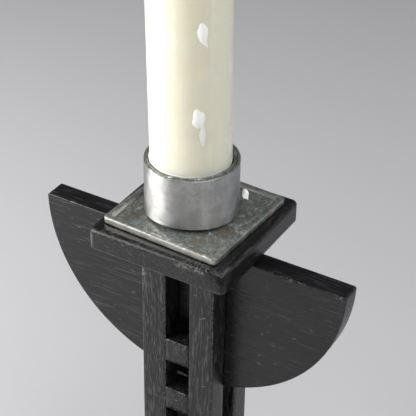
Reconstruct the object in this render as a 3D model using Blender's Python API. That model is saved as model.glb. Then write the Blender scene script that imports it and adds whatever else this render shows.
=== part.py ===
"""Ebonised oak candlestick with a pewter cup and drip plate, holding a pillar candle.

Metres, +Z up. The origin is on the column's axis at the underside of the felt.
+X runs along the half-disc wing, and -Y is the front.

From the floor up: felt, two base boards, a column of two fretted ladders with a gap
between them, the wing held in that gap, a cap board, the drip plate with its cup, and
the candle. Each ladder is glued up from two stiles and five rails.
"""
import math

import bmesh
import bpy
from mathutils import Matrix, Vector

# ---------------------------------------------------------------- driving dimensions
GAP = 0.0003                # clearance left between pieces that touch

BOARD_T = 0.0150            # thickness of the cap and of both base boards
BOARD_CORNER = 0.0042       # plan radius of a board's four upright corners
BOARD_TOP_IN = 0.0036       # width and drop of the flattened arris round a board's top
BOARD_TOP_DROP = 0.0028
BOARD_UNDER_ROUND = 0.0015  # round arris along a board's lower edges

STILE_W = 0.0170            # a ladder is three equal strips wide: stile, hole, stile
HOLE_W = 0.0170
POST_T = 0.0156             # front-to-back thickness of a ladder
POST_X = 0.0014             # the column stands a little right of the screw's axis
RAIL_H = 0.0173
TOP_RAIL_H = 0.0178
TALL_HOLE_H = 0.0510
SHORT_HOLE_H = 0.0227
HOLE_HEIGHTS = (TALL_HOLE_H, SHORT_HOLE_H, SHORT_HOLE_H, TALL_HOLE_H)
POST_ARRIS = 0.0006
SPACER_SHY = 0.0015         # spacers end short of the stiles' outer faces, each side
SPACER_LOW = 0.0005         # and stay inside their rails, above and below

WING_R = 0.1057             # half-disc wing, flat edge up
WING_T = 0.0146
WING_DROP = 0.0025          # how far its flat edge lies below the tops of the ladders
WING_ARC_STEPS = 44
WING_ARRIS = 0.0008

CAP_W = 0.0932
STEP_W = 0.1100
PLINTH_W = 0.1400
FELT_W = 0.1340
FELT_T = 0.0012
FELT_CORNER = 0.0060

PLATE_W = 0.0795            # drip plate
PLATE_RIM_H = 0.0047
PLATE_FLOOR_H = 0.0034
PLATE_RIM_W = 0.0034
PLATE_GROOVE_W = 0.0012
PLATE_CORNER = 0.0026
PLATE_SHARP_CORNER = 0.0010       # least corner radius of the plate's inner outlines
PLATE_ROLL = 0.0014               # radius of the rolled rim's upper edges
PLATE_FOOT = (0.0006, 0.0008)     # inset and height of the eased lower edge
PLATE_STEP = 0.0003               # foot of the rim above the floor
PLATE_GROOVE_D = 0.0004
PLATE_FLAT_R = 0.0300             # circle that splits the floor into two faces
PLATE_TURN = math.radians(-2.7)   # the plate has slewed a little on its one screw

CUP_R = 0.0286
CUP_WALL = 0.0018
CUP_H = 0.0363
CUP_FLOOR_T = 0.0015
CUP_OFFSET = (-0.0024, -0.0004)   # the cup is soldered slightly off the plate's centre
CUP_SIDES = 56
CUP_FOOT_EASE = 0.0008

CANDLE_R = 0.0245
CANDLE_H = 0.2000
CANDLE_LEAN = math.radians(1.0)
CANDLE_LEAN_TOWARDS = math.radians(210.0)
CANDLE_SIDES = 44
CANDLE_CHAMFER = 0.0012
SPIKE_HOLE_R = 0.0075       # recess in the candle's foot, which clears the screw's head
SPIKE_HOLE_H = 0.0080
POOL_R = 0.0190             # dish that the flame has melted in the candle's top
POOL_H = 0.0035
WICK_R = 0.0011
WICK_SUNK = 0.0060
WICK_PROUD = 0.0110
WICK_TIP = 0.0010

SHANK_R = 0.0017            # wood screws
HEAD_R = 0.0036
HEAD_H = 0.0024
HEAD_LAND = 0.0004          # short straight edge of a countersunk head
TIP_H = 0.0030
SLOT_W = 0.0009
SLOT_H = 0.0010
SCREW_SIDES = 12
BASE_SCREW_BITE = 0.0180    # length of screw inside a stile
CAP_SCREW_BITE = 0.0160
CUP_SCREW_BITE = 0.0115
CUP_SCREW_HEAD_R = 0.0044
PIVOT_HOLE_R = 0.0024       # hole in plate and cup floor, free to turn on the screw

DOWEL_R = 0.0030
DOWEL_BITE = 0.0050         # depth of a dowel's end in each ladder
DOWEL_DROPS = (0.0240, 0.0840)    # dowels below the wing's flat edge
DOWEL_SIDES = 12
DOWEL_CHAMFER = 0.0008

# ---------------------------------------------------------------- derived places
POST_GAP = WING_T + 2 * GAP
POST_Y = POST_GAP / 2 + POST_T / 2          # middle plane of the rear ladder
STILE_X = HOLE_W / 2 + STILE_W / 2          # from the ladder's middle to a stile's
RAIL_HEIGHTS = (TOP_RAIL_H,) + (RAIL_H,) * len(HOLE_HEIGHTS)
LADDER_H = sum(RAIL_HEIGHTS) + sum(HOLE_HEIGHTS)

PLINTH_Z = FELT_T + GAP
STEP_Z = PLINTH_Z + BOARD_T + GAP
POST_Z = STEP_Z + BOARD_T + GAP
POST_TOP = POST_Z + LADDER_H
WING_TOP = POST_TOP - WING_DROP
CAP_Z = POST_TOP + GAP
CAP_TOP = CAP_Z + BOARD_T
PLATE_Z = CAP_TOP + GAP
CUP_Z = PLATE_Z + PLATE_FLOOR_H + GAP
CUP_FLOOR_TOP = CUP_Z + CUP_FLOOR_T
CANDLE_Z = CUP_FLOOR_TOP + 3 * GAP
STILES = {
    "front_stile_left": (POST_X - STILE_X, -POST_Y),
    "front_stile_right": (POST_X + STILE_X, -POST_Y),
    "rear_stile_left": (POST_X - STILE_X, POST_Y),
    "rear_stile_right": (POST_X + STILE_X, POST_Y),
}


# ---------------------------------------------------------------- scene and materials
def clear_scene():
    for old in list(bpy.data.objects):
        bpy.data.objects.remove(old, do_unlink=True)


def own_material(name, colour, roughness, metallic=0.0):
    """Give each node its own copy of a finish, named after the node."""
    made = bpy.data.materials.new(name + "_finish")
    made.use_nodes = True
    shader = made.node_tree.nodes["Principled BSDF"]
    shader.inputs["Base Color"].default_value = (*colour, 1.0)
    shader.inputs["Roughness"].default_value = roughness
    shader.inputs["Metallic"].default_value = metallic
    return made


EBONISED_OAK = ((0.045, 0.046, 0.050), 0.55)
DARK_WOOD = ((0.110, 0.070, 0.040), 0.70)
PEWTER = ((0.42, 0.42, 0.41), 0.45, 1.0)
STEEL = ((0.50, 0.49, 0.47), 0.40, 1.0)
WAX = ((0.80, 0.78, 0.64), 0.35)
BURNT_COTTON = ((0.030, 0.025, 0.020), 0.95)
GREEN_FELT = ((0.030, 0.050, 0.040), 1.0)
SMOOTH_BELOW = math.radians(35)     # edges flatter than this are shaded smooth
BEVEL_ABOVE = math.radians(40)      # edges sharper than this are rounded


# ---------------------------------------------------------------- mesh helpers
def put_mesh(name, mesh_builder, finish, smooth=False):
    """Turn a bmesh into a named object with its own material."""
    bmesh.ops.recalc_face_normals(mesh_builder, faces=mesh_builder.faces)
    mesh = bpy.data.meshes.new(name)
    mesh_builder.to_mesh(mesh)
    mesh_builder.free()
    made = bpy.data.objects.new(name, mesh)
    bpy.context.scene.collection.objects.link(made)
    if finish:
        mesh.materials.append(own_material(name, *finish))
    if smooth:
        mesh.shade_smooth()
        mesh.set_sharp_from_angle(angle=SMOOTH_BELOW)
    return made


def round_arrises(made, width, segments=2):
    bevel = made.modifiers.new("arrises", "BEVEL")
    bevel.width = width
    bevel.segments = segments
    bevel.limit_method = "ANGLE"
    bevel.angle_limit = BEVEL_ABOVE


def block(name, centre, size, finish, arris=0.0):
    """A planed block with its arrises taken off."""
    shape = bmesh.new()
    bmesh.ops.create_cube(shape, size=1.0)
    bmesh.ops.scale(shape, vec=size, verts=shape.verts)
    bmesh.ops.translate(shape, vec=centre, verts=shape.verts)
    made = put_mesh(name, shape, finish)
    if arris:
        round_arrises(made, arris)
    return made


def extruded(name, outline, direction, finish):
    """A flat outline of 3-D points pushed along a vector."""
    shape = bmesh.new()
    face = shape.faces.new([shape.verts.new(point) for point in outline])
    pushed = bmesh.ops.extrude_face_region(shape, geom=[face])
    tops = [item for item in pushed["geom"] if isinstance(item, bmesh.types.BMVert)]
    bmesh.ops.translate(shape, vec=direction, verts=tops)
    return put_mesh(name, shape, finish)


def turned(name, profile, sides, finish, smooth=True):
    """Spin a closed (radius, height) profile about Z; radius 0 lies on the axis."""
    shape = bmesh.new()
    ring = [shape.verts.new((radius, 0.0, height)) for radius, height in profile]
    edges = [shape.edges.new(pair) for pair in zip(ring, ring[1:])]
    if profile[0][0] > 0.0:
        edges.append(shape.edges.new((ring[-1], ring[0])))
    bmesh.ops.spin(shape, geom=ring + edges, axis=(0, 0, 1), cent=(0, 0, 0),
                   angle=2 * math.pi, steps=sides, use_merge=True)
    bmesh.ops.remove_doubles(shape, verts=shape.verts, dist=1e-6)
    return put_mesh(name, shape, finish, smooth)


def lofted(name, loops, finish, ring=False):
    """Bridge a pile of equal loops; a ring runs on from last to first, else ends are closed."""
    shape = bmesh.new()
    rings = [[shape.verts.new(point) for point in loop] for loop in loops]
    count = len(rings[0])
    for lower, upper in zip(rings, rings[1:] + rings[:1] if ring else rings[1:]):
        for i in range(count):
            j = (i + 1) % count
            shape.faces.new((lower[i], lower[j], upper[j], upper[i]))
    if not ring:
        shape.faces.new(rings[0])
        shape.faces.new(rings[-1])
    return put_mesh(name, shape, finish, smooth=True)


def arc(centre, radius, start, end, steps):
    """Points of an arc in a plane, angles in degrees, both ends included."""
    angles = [math.radians(start + (end - start) * i / steps) for i in range(steps + 1)]
    return [(centre[0] + radius * math.cos(a), centre[1] + radius * math.sin(a)) for a in angles]


def rounded_square(half, corner, corner_steps=4):
    """Outline of a square with round corners, anticlockwise from its right side."""
    points = []
    for quarter in range(4):
        start = 90.0 * quarter
        turn = math.radians(start)
        inner = half - corner
        centre = (inner * (math.cos(turn) - math.sin(turn)),
                  inner * (math.sin(turn) + math.cos(turn)))
        points += arc(centre, corner, start, start + 90.0, corner_steps)
    return points


def cut(target, cutter):
    """Subtract a hidden cutter from a piece."""
    cutter.hide_render = True
    cutter.display_type = "WIRE"
    hole = target.modifiers.new("hole", "BOOLEAN")
    hole.operation = "DIFFERENCE"
    hole.solver = "EXACT"
    hole.object = cutter


# ---------------------------------------------------------------- wooden pieces
def board(name, width, low):
    """A square board with round corners, a flattened arris on top and a small one below."""
    quarter = [math.radians(18 * step) for step in range(6)]
    edge = [(BOARD_UNDER_ROUND * (1 - math.sin(a)), BOARD_UNDER_ROUND * (1 - math.cos(a)))
            for a in quarter[::2] + quarter[-1:]]
    edge += [(BOARD_TOP_IN * (1 - math.cos(a)), BOARD_T - BOARD_TOP_DROP * (1 - math.sin(a)))
             for a in quarter]
    loops = [[(x, y, low + height)
              for x, y in rounded_square(width / 2 - inset, BOARD_CORNER - inset)]
             for inset, height in edge]
    lofted(name, loops, EBONISED_OAK)


def ladder(side_name, side):
    """Two stiles and five rails; side is -1 for the front ladder and 1 for the rear."""
    y = side * POST_Y
    middle = POST_Z + LADDER_H / 2
    for hand_name, x in (("left", POST_X - STILE_X), ("right", POST_X + STILE_X)):
        block(f"{side_name}_stile_{hand_name}", (x, y, middle),
              (STILE_W, POST_T, LADDER_H), EBONISED_OAK, POST_ARRIS)
    top = POST_TOP
    for number, (rail_h, hole_h) in enumerate(zip(RAIL_HEIGHTS, HOLE_HEIGHTS + (0.0,)), 1):
        block(f"{side_name}_rail_{number}", (POST_X, y, top - rail_h / 2),
              (HOLE_W - 2 * GAP, POST_T, rail_h), EBONISED_OAK, POST_ARRIS / 2)
        top -= rail_h + hole_h


def spacer(name, rail_number):
    """A block that closes the gap between the ladders behind one pair of rails."""
    above = sum(RAIL_HEIGHTS[:rail_number - 1]) + sum(HOLE_HEIGHTS[:rail_number - 1])
    centre_z = POST_TOP - above - RAIL_H / 2
    size = (2 * STILE_W + HOLE_W - 2 * SPACER_SHY, WING_T, RAIL_H - 2 * SPACER_LOW)
    block(name, (POST_X, 0, centre_z), size, EBONISED_OAK, POST_ARRIS)


def wing():
    """A half disc with its flat edge up, held between the ladders."""
    rim = arc((0.0, WING_TOP), WING_R, 180, 360, WING_ARC_STEPS)
    outline = [(x, -WING_T / 2, z) for x, z in rim]
    made = extruded("wing_panel", outline, Vector((0, WING_T, 0)), EBONISED_OAK)
    round_arrises(made, WING_ARRIS)


def felt():
    points = rounded_square(FELT_W / 2, FELT_CORNER)
    extruded("felt_pad", [(x, y, 0.0) for x, y in points], Vector((0, 0, FELT_T)), GREEN_FELT)


# ---------------------------------------------------------------- screws and dowels
def screw_profile(shank_length, head_radius, countersunk, grow=0.0):
    """Half outline of a screw, head up at height 0; grow swells it into its own hole."""
    shank = SHANK_R + grow
    head = head_radius + grow
    if countersunk:
        top = 3 * grow      # a hole breaks out past the surface that the head lies in
        head_outline = [(0.0, top), (head, top), (head, -HEAD_LAND), (shank, -HEAD_H - grow)]
    else:
        dome = [(head * math.cos(a), HEAD_H * math.sin(a))
                for a in [math.radians(90 - 18 * i) for i in range(6)]]
        head_outline = [(0.0, HEAD_H)] + dome[1:] + [(shank, 0.0)]
    return head_outline + [(shank, -shank_length + TIP_H), (0.0, -shank_length - grow)]


def place(made, location, upside_down=False):
    turn = Matrix.Rotation(math.pi, 4, "X") if upside_down else Matrix.Identity(4)
    made.matrix_world = Matrix.Translation(location) @ turn


def screw(name, location, length, upside_down, targets):
    """A slotted countersunk screw, and the hole it needs in each piece it passes."""
    made = turned(name, screw_profile(length, HEAD_R, True), SCREW_SIDES, STEEL)
    slot = block(name + "_slot_cutter", (0, 0, 0), (3 * HEAD_R, SLOT_W, 2 * SLOT_H), None)
    hole = turned(name + "_hole_cutter", screw_profile(length, HEAD_R, True, GAP), SCREW_SIDES, None)
    for item in (made, slot, hole):
        place(item, location, upside_down)
    cut(made, slot)
    for target in targets:
        cut(bpy.data.objects[target], hole)


def base_screws():
    """Four screws up through both base boards into the feet of the stiles."""
    head = PLINTH_Z + GAP
    length = POST_Z + BASE_SCREW_BITE - head
    for number, (stile, (x, y)) in enumerate(STILES.items(), 1):
        screw(f"base_screw_{number}", (x, y, head), length, True,
              ("base_plinth", "base_step", stile))


def cap_screws():
    """Four screws down through the cap into the tops of the stiles."""
    head = CAP_TOP - GAP
    length = head - POST_TOP + CAP_SCREW_BITE
    for number, (stile, (x, y)) in enumerate(STILES.items(), 1):
        screw(f"cap_screw_{number}", (x, y, head), length, False, ("cap_block", stile))


def wing_dowels():
    """Blind dowels through the wing into a stile on each side of it."""
    end = POST_GAP / 2 + DOWEL_BITE
    hands = (("left", POST_X - STILE_X), ("right", POST_X + STILE_X))
    spots = [(hand, x, drop) for drop in DOWEL_DROPS for hand, x in hands]
    for number, (hand, x, drop) in enumerate(spots, 1):
        profile = [(0.0, end), (DOWEL_R - DOWEL_CHAMFER, end), (DOWEL_R, end - DOWEL_CHAMFER),
                   (DOWEL_R, DOWEL_CHAMFER - end), (DOWEL_R - DOWEL_CHAMFER, -end), (0.0, -end)]
        made = turned(f"wing_dowel_{number}", profile, DOWEL_SIDES, DARK_WOOD)
        bore = DOWEL_R + GAP
        hole_profile = [(0.0, end + GAP), (bore, end + GAP), (bore, -end - GAP), (0.0, -end - GAP)]
        hole = turned(f"wing_dowel_{number}_hole_cutter", hole_profile, DOWEL_SIDES, None)
        lie = Matrix.Translation((x, 0, WING_TOP - drop)) @ Matrix.Rotation(math.pi / 2, 4, "X")
        made.matrix_world = lie
        hole.matrix_world = lie
        for target in ("wing_panel", f"front_stile_{hand}", f"rear_stile_{hand}"):
            cut(bpy.data.objects[target], hole)


# ---------------------------------------------------------------- metal pieces
def drip_plate():
    """A square tray with a rolled rim, an inner groove and a pivot hole."""
    half = PLATE_W / 2
    rim, groove, roll = PLATE_RIM_W, PLATE_GROOVE_W, PLATE_ROLL
    foot_in, foot_h = PLATE_FOOT
    steps = [(foot_in, 0.0), (0.0, foot_h), (0.0, PLATE_RIM_H - roll),
             (roll * 0.3, PLATE_RIM_H - roll * 0.3), (roll, PLATE_RIM_H),
             (rim - roll * 0.5, PLATE_RIM_H), (rim, PLATE_FLOOR_H + PLATE_STEP),
             (rim + groove * 0.5, PLATE_FLOOR_H - PLATE_GROOVE_D), (rim + groove, PLATE_FLOOR_H)]
    loops = []
    for inset, height in steps:
        corner = max(PLATE_CORNER - inset * 0.5, PLATE_SHARP_CORNER)
        loops.append([(x, y, height) for x, y in rounded_square(half - inset, corner)])
    aims = [Vector((x, y)).normalized() for x, y in rounded_square(half, PLATE_CORNER)]
    for radius, height in ((PLATE_FLAT_R, PLATE_FLOOR_H), (PIVOT_HOLE_R, PLATE_FLOOR_H),
                           (PIVOT_HOLE_R, 0.0)):
        loops.append([(aim.x * radius, aim.y * radius, height) for aim in aims])
    return lofted("drip_plate", loops, PEWTER, ring=True)


def cup_wall():
    """The candle cup's tube, with an eased rim and foot."""
    ease = CUP_WALL / 2
    inner = CUP_R - CUP_WALL
    rim = arc((CUP_R - ease, CUP_H - ease), ease, 0, 180, 4)
    foot = [(inner, 0.0), (CUP_R - CUP_FOOT_EASE, 0.0), (CUP_R, CUP_FOOT_EASE)]
    return turned("cup_wall", foot + rim, CUP_SIDES, PEWTER)


def cup_floor():
    """The disc soldered into the foot of the cup; its hole lies on the screw."""
    outer = CUP_R - CUP_WALL - GAP
    loops = []
    for centre, radius, height in (((0, 0), PIVOT_HOLE_R, 0.0), (CUP_OFFSET, outer, 0.0),
                                   (CUP_OFFSET, outer, CUP_FLOOR_T),
                                   ((0, 0), PIVOT_HOLE_R, CUP_FLOOR_T)):
        circle = arc(centre, radius, 0, 360, CUP_SIDES)[:-1]
        loops.append([(x, y, height) for x, y in circle])
    return lofted("cup_floor", loops, PEWTER, ring=True)


def cup_screw():
    """The round-headed screw that pins cup and plate to the cap, and lets them turn."""
    seat = CUP_FLOOR_TOP + GAP
    length = seat - CAP_TOP + CUP_SCREW_BITE
    made = turned("cup_screw", screw_profile(length, CUP_SCREW_HEAD_R, False), SCREW_SIDES, STEEL)
    bore = SHANK_R + GAP
    hole = turned("cup_screw_hole_cutter",
                  [(0.0, 3 * GAP), (bore, 3 * GAP), (bore, -length), (0.0, -length - GAP)],
                  SCREW_SIDES, None)
    slot = block("cup_screw_slot_cutter", (0, 0, HEAD_H), (3 * HEAD_R, SLOT_W, 2 * SLOT_H), None)
    for item in (made, hole, slot):
        place(item, (0, 0, seat))
    cut(made, slot)
    cut(bpy.data.objects["cap_block"], hole)


def tray():
    """Plate, cup wall and cup floor, turning together about the screw."""
    pivot = bpy.data.objects.new("tray_pivot", None)
    bpy.context.scene.collection.objects.link(pivot)
    pivot.location = (0, 0, PLATE_Z)
    pivot.rotation_euler.z = PLATE_TURN
    plate = drip_plate()
    plate.parent = pivot
    wall = cup_wall()
    wall.parent = pivot
    wall.location = (*CUP_OFFSET, CUP_Z - PLATE_Z)
    floor = cup_floor()
    floor.parent = pivot
    floor.location = (0, 0, CUP_Z - PLATE_Z)


# ---------------------------------------------------------------- candle
def candle():
    """A pillar with a spike recess below, a melted dish above and a hole for the wick."""
    chamfer = CANDLE_CHAMFER
    wick_hole = WICK_R + GAP
    dish = [(POOL_R * math.cos(a), CANDLE_H - POOL_H * math.sin(a))
            for a in [math.radians(18 * i) for i in range(5)]]
    floor_of_dish = CANDLE_H - POOL_H
    profile = [(0.0, SPIKE_HOLE_H), (SPIKE_HOLE_R, SPIKE_HOLE_H), (SPIKE_HOLE_R, 0.0),
               (CANDLE_R - chamfer, 0.0), (CANDLE_R, chamfer),
               (CANDLE_R, CANDLE_H - 2 * chamfer), (CANDLE_R - chamfer, CANDLE_H)]
    profile += dish + [(wick_hole, floor_of_dish), (wick_hole, floor_of_dish - WICK_SUNK - GAP),
                       (0.0, floor_of_dish - WICK_SUNK - GAP)]
    made = turned("candle", profile, CANDLE_SIDES, WAX)
    foot = floor_of_dish - WICK_SUNK
    tip = floor_of_dish + WICK_PROUD
    string = [(0.0, foot), (WICK_R, foot), (WICK_R, tip - WICK_TIP), (WICK_R * 0.6, tip), (0.0, tip)]
    wick = turned("wick", string, 12, BURNT_COTTON)
    lean_axis = Vector((-math.sin(CANDLE_LEAN_TOWARDS), math.cos(CANDLE_LEAN_TOWARDS), 0))
    stand = (Matrix.Translation((*CUP_OFFSET, CANDLE_Z + CANDLE_R * math.sin(CANDLE_LEAN)))
             @ Matrix.Rotation(CANDLE_LEAN, 4, lean_axis))
    made.matrix_world = stand
    wick.matrix_world = stand


def build():
    clear_scene()
    felt()
    board("base_plinth", PLINTH_W, PLINTH_Z)
    board("base_step", STEP_W, STEP_Z)
    ladder("front", -1)
    ladder("rear", 1)
    wing()
    spacer("spacer_middle", 4)
    spacer("spacer_foot", 5)
    board("cap_block", CAP_W, CAP_Z)
    wing_dowels()
    base_screws()
    cap_screws()
    tray()
    cup_screw()
    candle()


build()
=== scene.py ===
# %% [markdown]
# # An ebonised oak candlestick
# The candlestick is a column of two fretted ladders with a half-disc wing held between them, a
# cap board, a pewter drip plate with a cup soldered to it, and a thick ivory candle. The packed
# model already holds every part at its real size, so each visible piece here is made again as a
# finer surface in the place of its CAD solid, and rides on the same body.

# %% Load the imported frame
import math

import bpy
import numpy as np
from mathutils import Matrix, Vector


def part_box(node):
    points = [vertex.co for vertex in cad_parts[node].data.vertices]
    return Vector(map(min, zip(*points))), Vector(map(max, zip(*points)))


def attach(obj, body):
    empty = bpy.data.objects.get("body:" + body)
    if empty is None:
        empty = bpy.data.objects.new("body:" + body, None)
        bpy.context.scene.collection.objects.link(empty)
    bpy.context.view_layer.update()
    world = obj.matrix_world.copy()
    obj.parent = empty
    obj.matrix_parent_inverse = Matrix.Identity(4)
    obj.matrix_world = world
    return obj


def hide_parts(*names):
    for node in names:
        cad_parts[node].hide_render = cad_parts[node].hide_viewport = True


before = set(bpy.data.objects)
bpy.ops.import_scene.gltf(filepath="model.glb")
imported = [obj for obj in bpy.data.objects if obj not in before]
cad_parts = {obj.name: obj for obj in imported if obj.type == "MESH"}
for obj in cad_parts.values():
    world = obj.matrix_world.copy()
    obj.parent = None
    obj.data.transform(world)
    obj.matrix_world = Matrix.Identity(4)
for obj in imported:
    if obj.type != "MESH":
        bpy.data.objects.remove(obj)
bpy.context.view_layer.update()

# %% [markdown]
# ## The camera
# A long lens a little under a metre away looks down on the cup from the front right. A camera
# could be aimed with a Track To constraint, but this one is also rolled by a degree, so its three
# axes are worked out directly: back from the aim point, right along the ground, and up.

# %% Camera
CAMERA_AZIMUTH = math.radians(29.935)
CAMERA_ELEVATION = math.radians(33.847)
CAMERA_ROLL = math.radians(0.995)
CAMERA_DISTANCE = 0.80318
CAMERA_LENS = 115.6           # mm, on a 36 mm wide sensor
AIM_RIGHT = 0.0076            # the aim point, beside and above the wing's flat edge
AIM_ABOVE_WING = 0.0217

wing_low, wing_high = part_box("wing_panel")
right = Vector((math.cos(CAMERA_AZIMUTH), math.sin(CAMERA_AZIMUTH), 0))
level = Vector((math.sin(CAMERA_AZIMUTH), -math.cos(CAMERA_AZIMUTH), 0))
back = level * math.cos(CAMERA_ELEVATION) + Vector((0, 0, math.sin(CAMERA_ELEVATION)))
up = back.cross(right)
rolled_right = right * math.cos(CAMERA_ROLL) + up * math.sin(CAMERA_ROLL)
rolled_up = up * math.cos(CAMERA_ROLL) - right * math.sin(CAMERA_ROLL)
aim = right * AIM_RIGHT + Vector((0, 0, wing_high.z + AIM_ABOVE_WING))

camera_data = bpy.data.cameras.new("camera")
camera_data.sensor_width = 36.0
camera_data.lens = CAMERA_LENS
camera_data.clip_start = 0.02
camera_data.clip_end = 50.0
camera = bpy.data.objects.new("camera", camera_data)
bpy.context.scene.collection.objects.link(camera)
axes = Matrix((rolled_right, rolled_up, back)).transposed()
camera.matrix_world = Matrix.Translation(aim + back * CAMERA_DISTANCE) @ axes.to_4x4()
bpy.context.scene.camera = camera
print("camera stands at", [round(v, 3) for v in camera.location])

# %% [markdown]
# ## Surfaces from loops
# Every piece of this object can be drawn as a pile of closed loops: a square stick, a board, a
# tube or a candle. Blender's own primitives and a Bevel modifier could make them too, but then
# the wear on an edge or a dent would be hard to place. Here a piece is one numpy array of shape
# (loops, points, 3), which is easy to bend, dent and measure before it becomes a mesh.

# %% Directions and sharpness of a pile of loops
def outward(loops):
    """Unit directions out of the surface: the cross product of the steps along and around."""
    along = np.gradient(loops, axis=0)
    around = np.roll(loops, -1, axis=1) - np.roll(loops, 1, axis=1)
    direction = np.cross(along, around)
    length = np.linalg.norm(direction, axis=2, keepdims=True)
    direction = direction / np.maximum(length, 1e-15)
    away = loops - loops.mean(axis=(0, 1))
    return direction * (1.0 if (direction * away).sum() > 0 else -1.0)


def sharpness(loops):
    """How fast the surface turns, per metre: the change of direction over the step's length."""
    direction = outward(loops)
    turn_around = np.roll(direction, -1, axis=1) - np.roll(direction, 1, axis=1)
    step_around = np.roll(loops, -1, axis=1) - np.roll(loops, 1, axis=1)
    turn_along = np.gradient(direction, axis=0)
    step_along = np.gradient(loops, axis=0)
    fastest = np.zeros(loops.shape[:2])
    for turn, step in ((turn_around, step_around), (turn_along, step_along)):
        rate = np.linalg.norm(turn, axis=2) / np.maximum(np.linalg.norm(step, axis=2), 2e-5)
        fastest = np.maximum(fastest, rate)
    return fastest


def slow_waves(points, length, seed):
    """Smooth unevenness from -1 to 1: five sine waves of about that length, in random directions."""
    draw = np.random.default_rng(seed)
    total = np.zeros(points.shape[:-1])
    for _ in range(5):
        heading = draw.normal(size=3)
        heading = heading / np.linalg.norm(heading) * draw.uniform(0.6, 1.5)
        total += np.sin(2 * np.pi * (points @ heading) / length + draw.uniform(0, 2 * np.pi))
    return total / 5


def near(points, places):
    """From 0 to 1: a bell curve round each (x, y, z, radius) place, and the highest of them."""
    found = np.zeros(points.shape[:-1])
    for x, y, z, radius in places:
        apart = np.linalg.norm(points - np.array((x, y, z)), axis=-1)
        found = np.maximum(found, np.exp(-0.5 * (apart / radius) ** 2))
    return found


def circle(turn):
    """Points of a unit circle round Z at the given angles."""
    return np.stack([np.cos(turn), np.sin(turn), 0 * turn], axis=1)


def wrapped(radius, height, angle):
    """Loops at the given radii, heights and angles round the Z axis."""
    flat = np.broadcast_arrays(radius * np.cos(angle), radius * np.sin(angle), height + 0 * angle)
    return np.stack(flat, axis=2)


# %% A mesh from a pile of loops
def piece(name, loops, finish, body, slot, stands_for=(), joined=False, **marks):
    """Join neighbouring loops with four-sided faces and put the result in the scene.

    An open pile is closed at each end by triangles round the middle of its last loop; a joined
    one has its last loop meet its first. The signed volume, a sixth of the sum of
    a . (b x c) over all triangles, says which way the faces look. The UV map holds the
    distance around and the distance along, in metres. Each mark is stored as an attribute.
    """
    count, around = loops.shape[:2]
    index = np.arange(count * around).reshape(count, around)
    following = np.roll(index, -1, axis=1)
    lower = np.arange(count if joined else count - 1)
    upper = (lower + 1) % count
    quads = np.stack([index[lower], following[lower], following[upper], index[upper]], axis=-1)
    quads = quads.reshape(-1, 4)
    points = loops.reshape(-1, 3)
    fans = np.zeros((0, 3), int)
    if not joined:
        points = np.vstack([points, loops[0].mean(axis=0), loops[-1].mean(axis=0)])
        first = np.full(around, count * around)
        fans = np.vstack([np.stack([following[0], index[0], first], axis=1),
                          np.stack([index[-1], following[-1], first + 1], axis=1)])

    widest = np.linalg.norm(np.roll(loops, -1, axis=1) - loops, axis=2).sum(axis=1).max()
    steps = np.linalg.norm(np.diff(loops, axis=0), axis=2).mean(axis=1)
    climbed = np.append(np.concatenate([[0.0], np.cumsum(steps)]), steps.sum() + steps[-1])
    u0, v0 = np.meshgrid(np.arange(around) * widest / around, climbed[lower])
    u1 = u0 + widest / around
    v1 = np.broadcast_to(climbed[lower + 1][:, None], v0.shape)
    quad_uv = np.stack([np.stack([u0, v0], -1), np.stack([u1, v0], -1),
                        np.stack([u1, v1], -1), np.stack([u0, v1], -1)], axis=2).reshape(-1, 4, 2)
    fan_u = np.arange(around) * widest / around
    fan_uv = np.zeros((len(fans), 3, 2))
    for part, height in ((0, climbed[0]), (1, climbed[count - 1])):
        if len(fans):
            rows = slice(part * around, (part + 1) * around)
            fan_uv[rows] = np.stack([np.stack([fan_u + side, np.full(around, height)], -1)
                                     for side in (widest / around, 0.0, 0.0)], axis=1)

    triangles = np.vstack([quads[:, [0, 1, 2]], quads[:, [0, 2, 3]], fans])
    a, b, c = (points[triangles[:, k]] for k in range(3))
    volume = (a * np.cross(b, c)).sum() / 6
    if volume < 0:
        quads, fans = quads[:, ::-1], fans[:, ::-1]
        quad_uv, fan_uv = quad_uv[:, ::-1], fan_uv[:, ::-1]

    mesh = bpy.data.meshes.new(name)
    mesh.from_pydata(points.tolist(), [], quads.tolist() + fans.tolist())
    mesh.shade_smooth()
    corners = np.concatenate([quad_uv.reshape(-1, 2), fan_uv.reshape(-1, 2)])
    mesh.uv_layers.new(name="surface").data.foreach_set("uv", corners.astype(np.float32).ravel())
    for mark, values in marks.items():
        padded = np.append(values.ravel(), [0.0] * (len(points) - values.size))
        layer = mesh.attributes.new(mark, "FLOAT", "POINT")
        layer.data.foreach_set("value", padded.astype(np.float32))
    mesh.materials.append(finish)
    made = bpy.data.objects.new(name, mesh)
    bpy.context.scene.collection.objects.link(made)
    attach(made, body)
    if stands_for:
        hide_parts(*stands_for)
    print(f"{name}: {len(quads) * 2 + len(fans)} triangles, {abs(volume) * 1e6:.1f} cm3")
    return made


# %% [markdown]
# ## Materials
# Every finish below is a node tree of its own, written node by node. What they share is how one
# starts, how an input gets its fixed value, and how the nodes are laid out to be read: one frame
# for each effect, one row for each frame.

# %% How a material starts, and how its nodes are laid out
COLUMN_STEP, ROW_STEP = 220, 340


def empty_material(name):
    """A new material without nodes, and its lists of nodes and links."""
    made = bpy.data.materials.new(name)
    made.use_nodes = True
    made.node_tree.nodes.clear()
    print("material:", name)
    return made, made.node_tree.nodes, made.node_tree.links


def set_inputs(node, values):
    """Give each named input its fixed value."""
    for socket, value in values.items():
        node.inputs[socket].default_value = value


def lay_out(nodes, groups):
    """Put each titled group of nodes in a frame, as one row of the node editor."""
    for row, (title, members) in enumerate(groups):
        frame_node = nodes.new("NodeFrame")
        frame_node.label = title
        for column, node in enumerate(members):
            node.parent = frame_node
            node.location = (column * COLUMN_STEP, -row * ROW_STEP)


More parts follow.
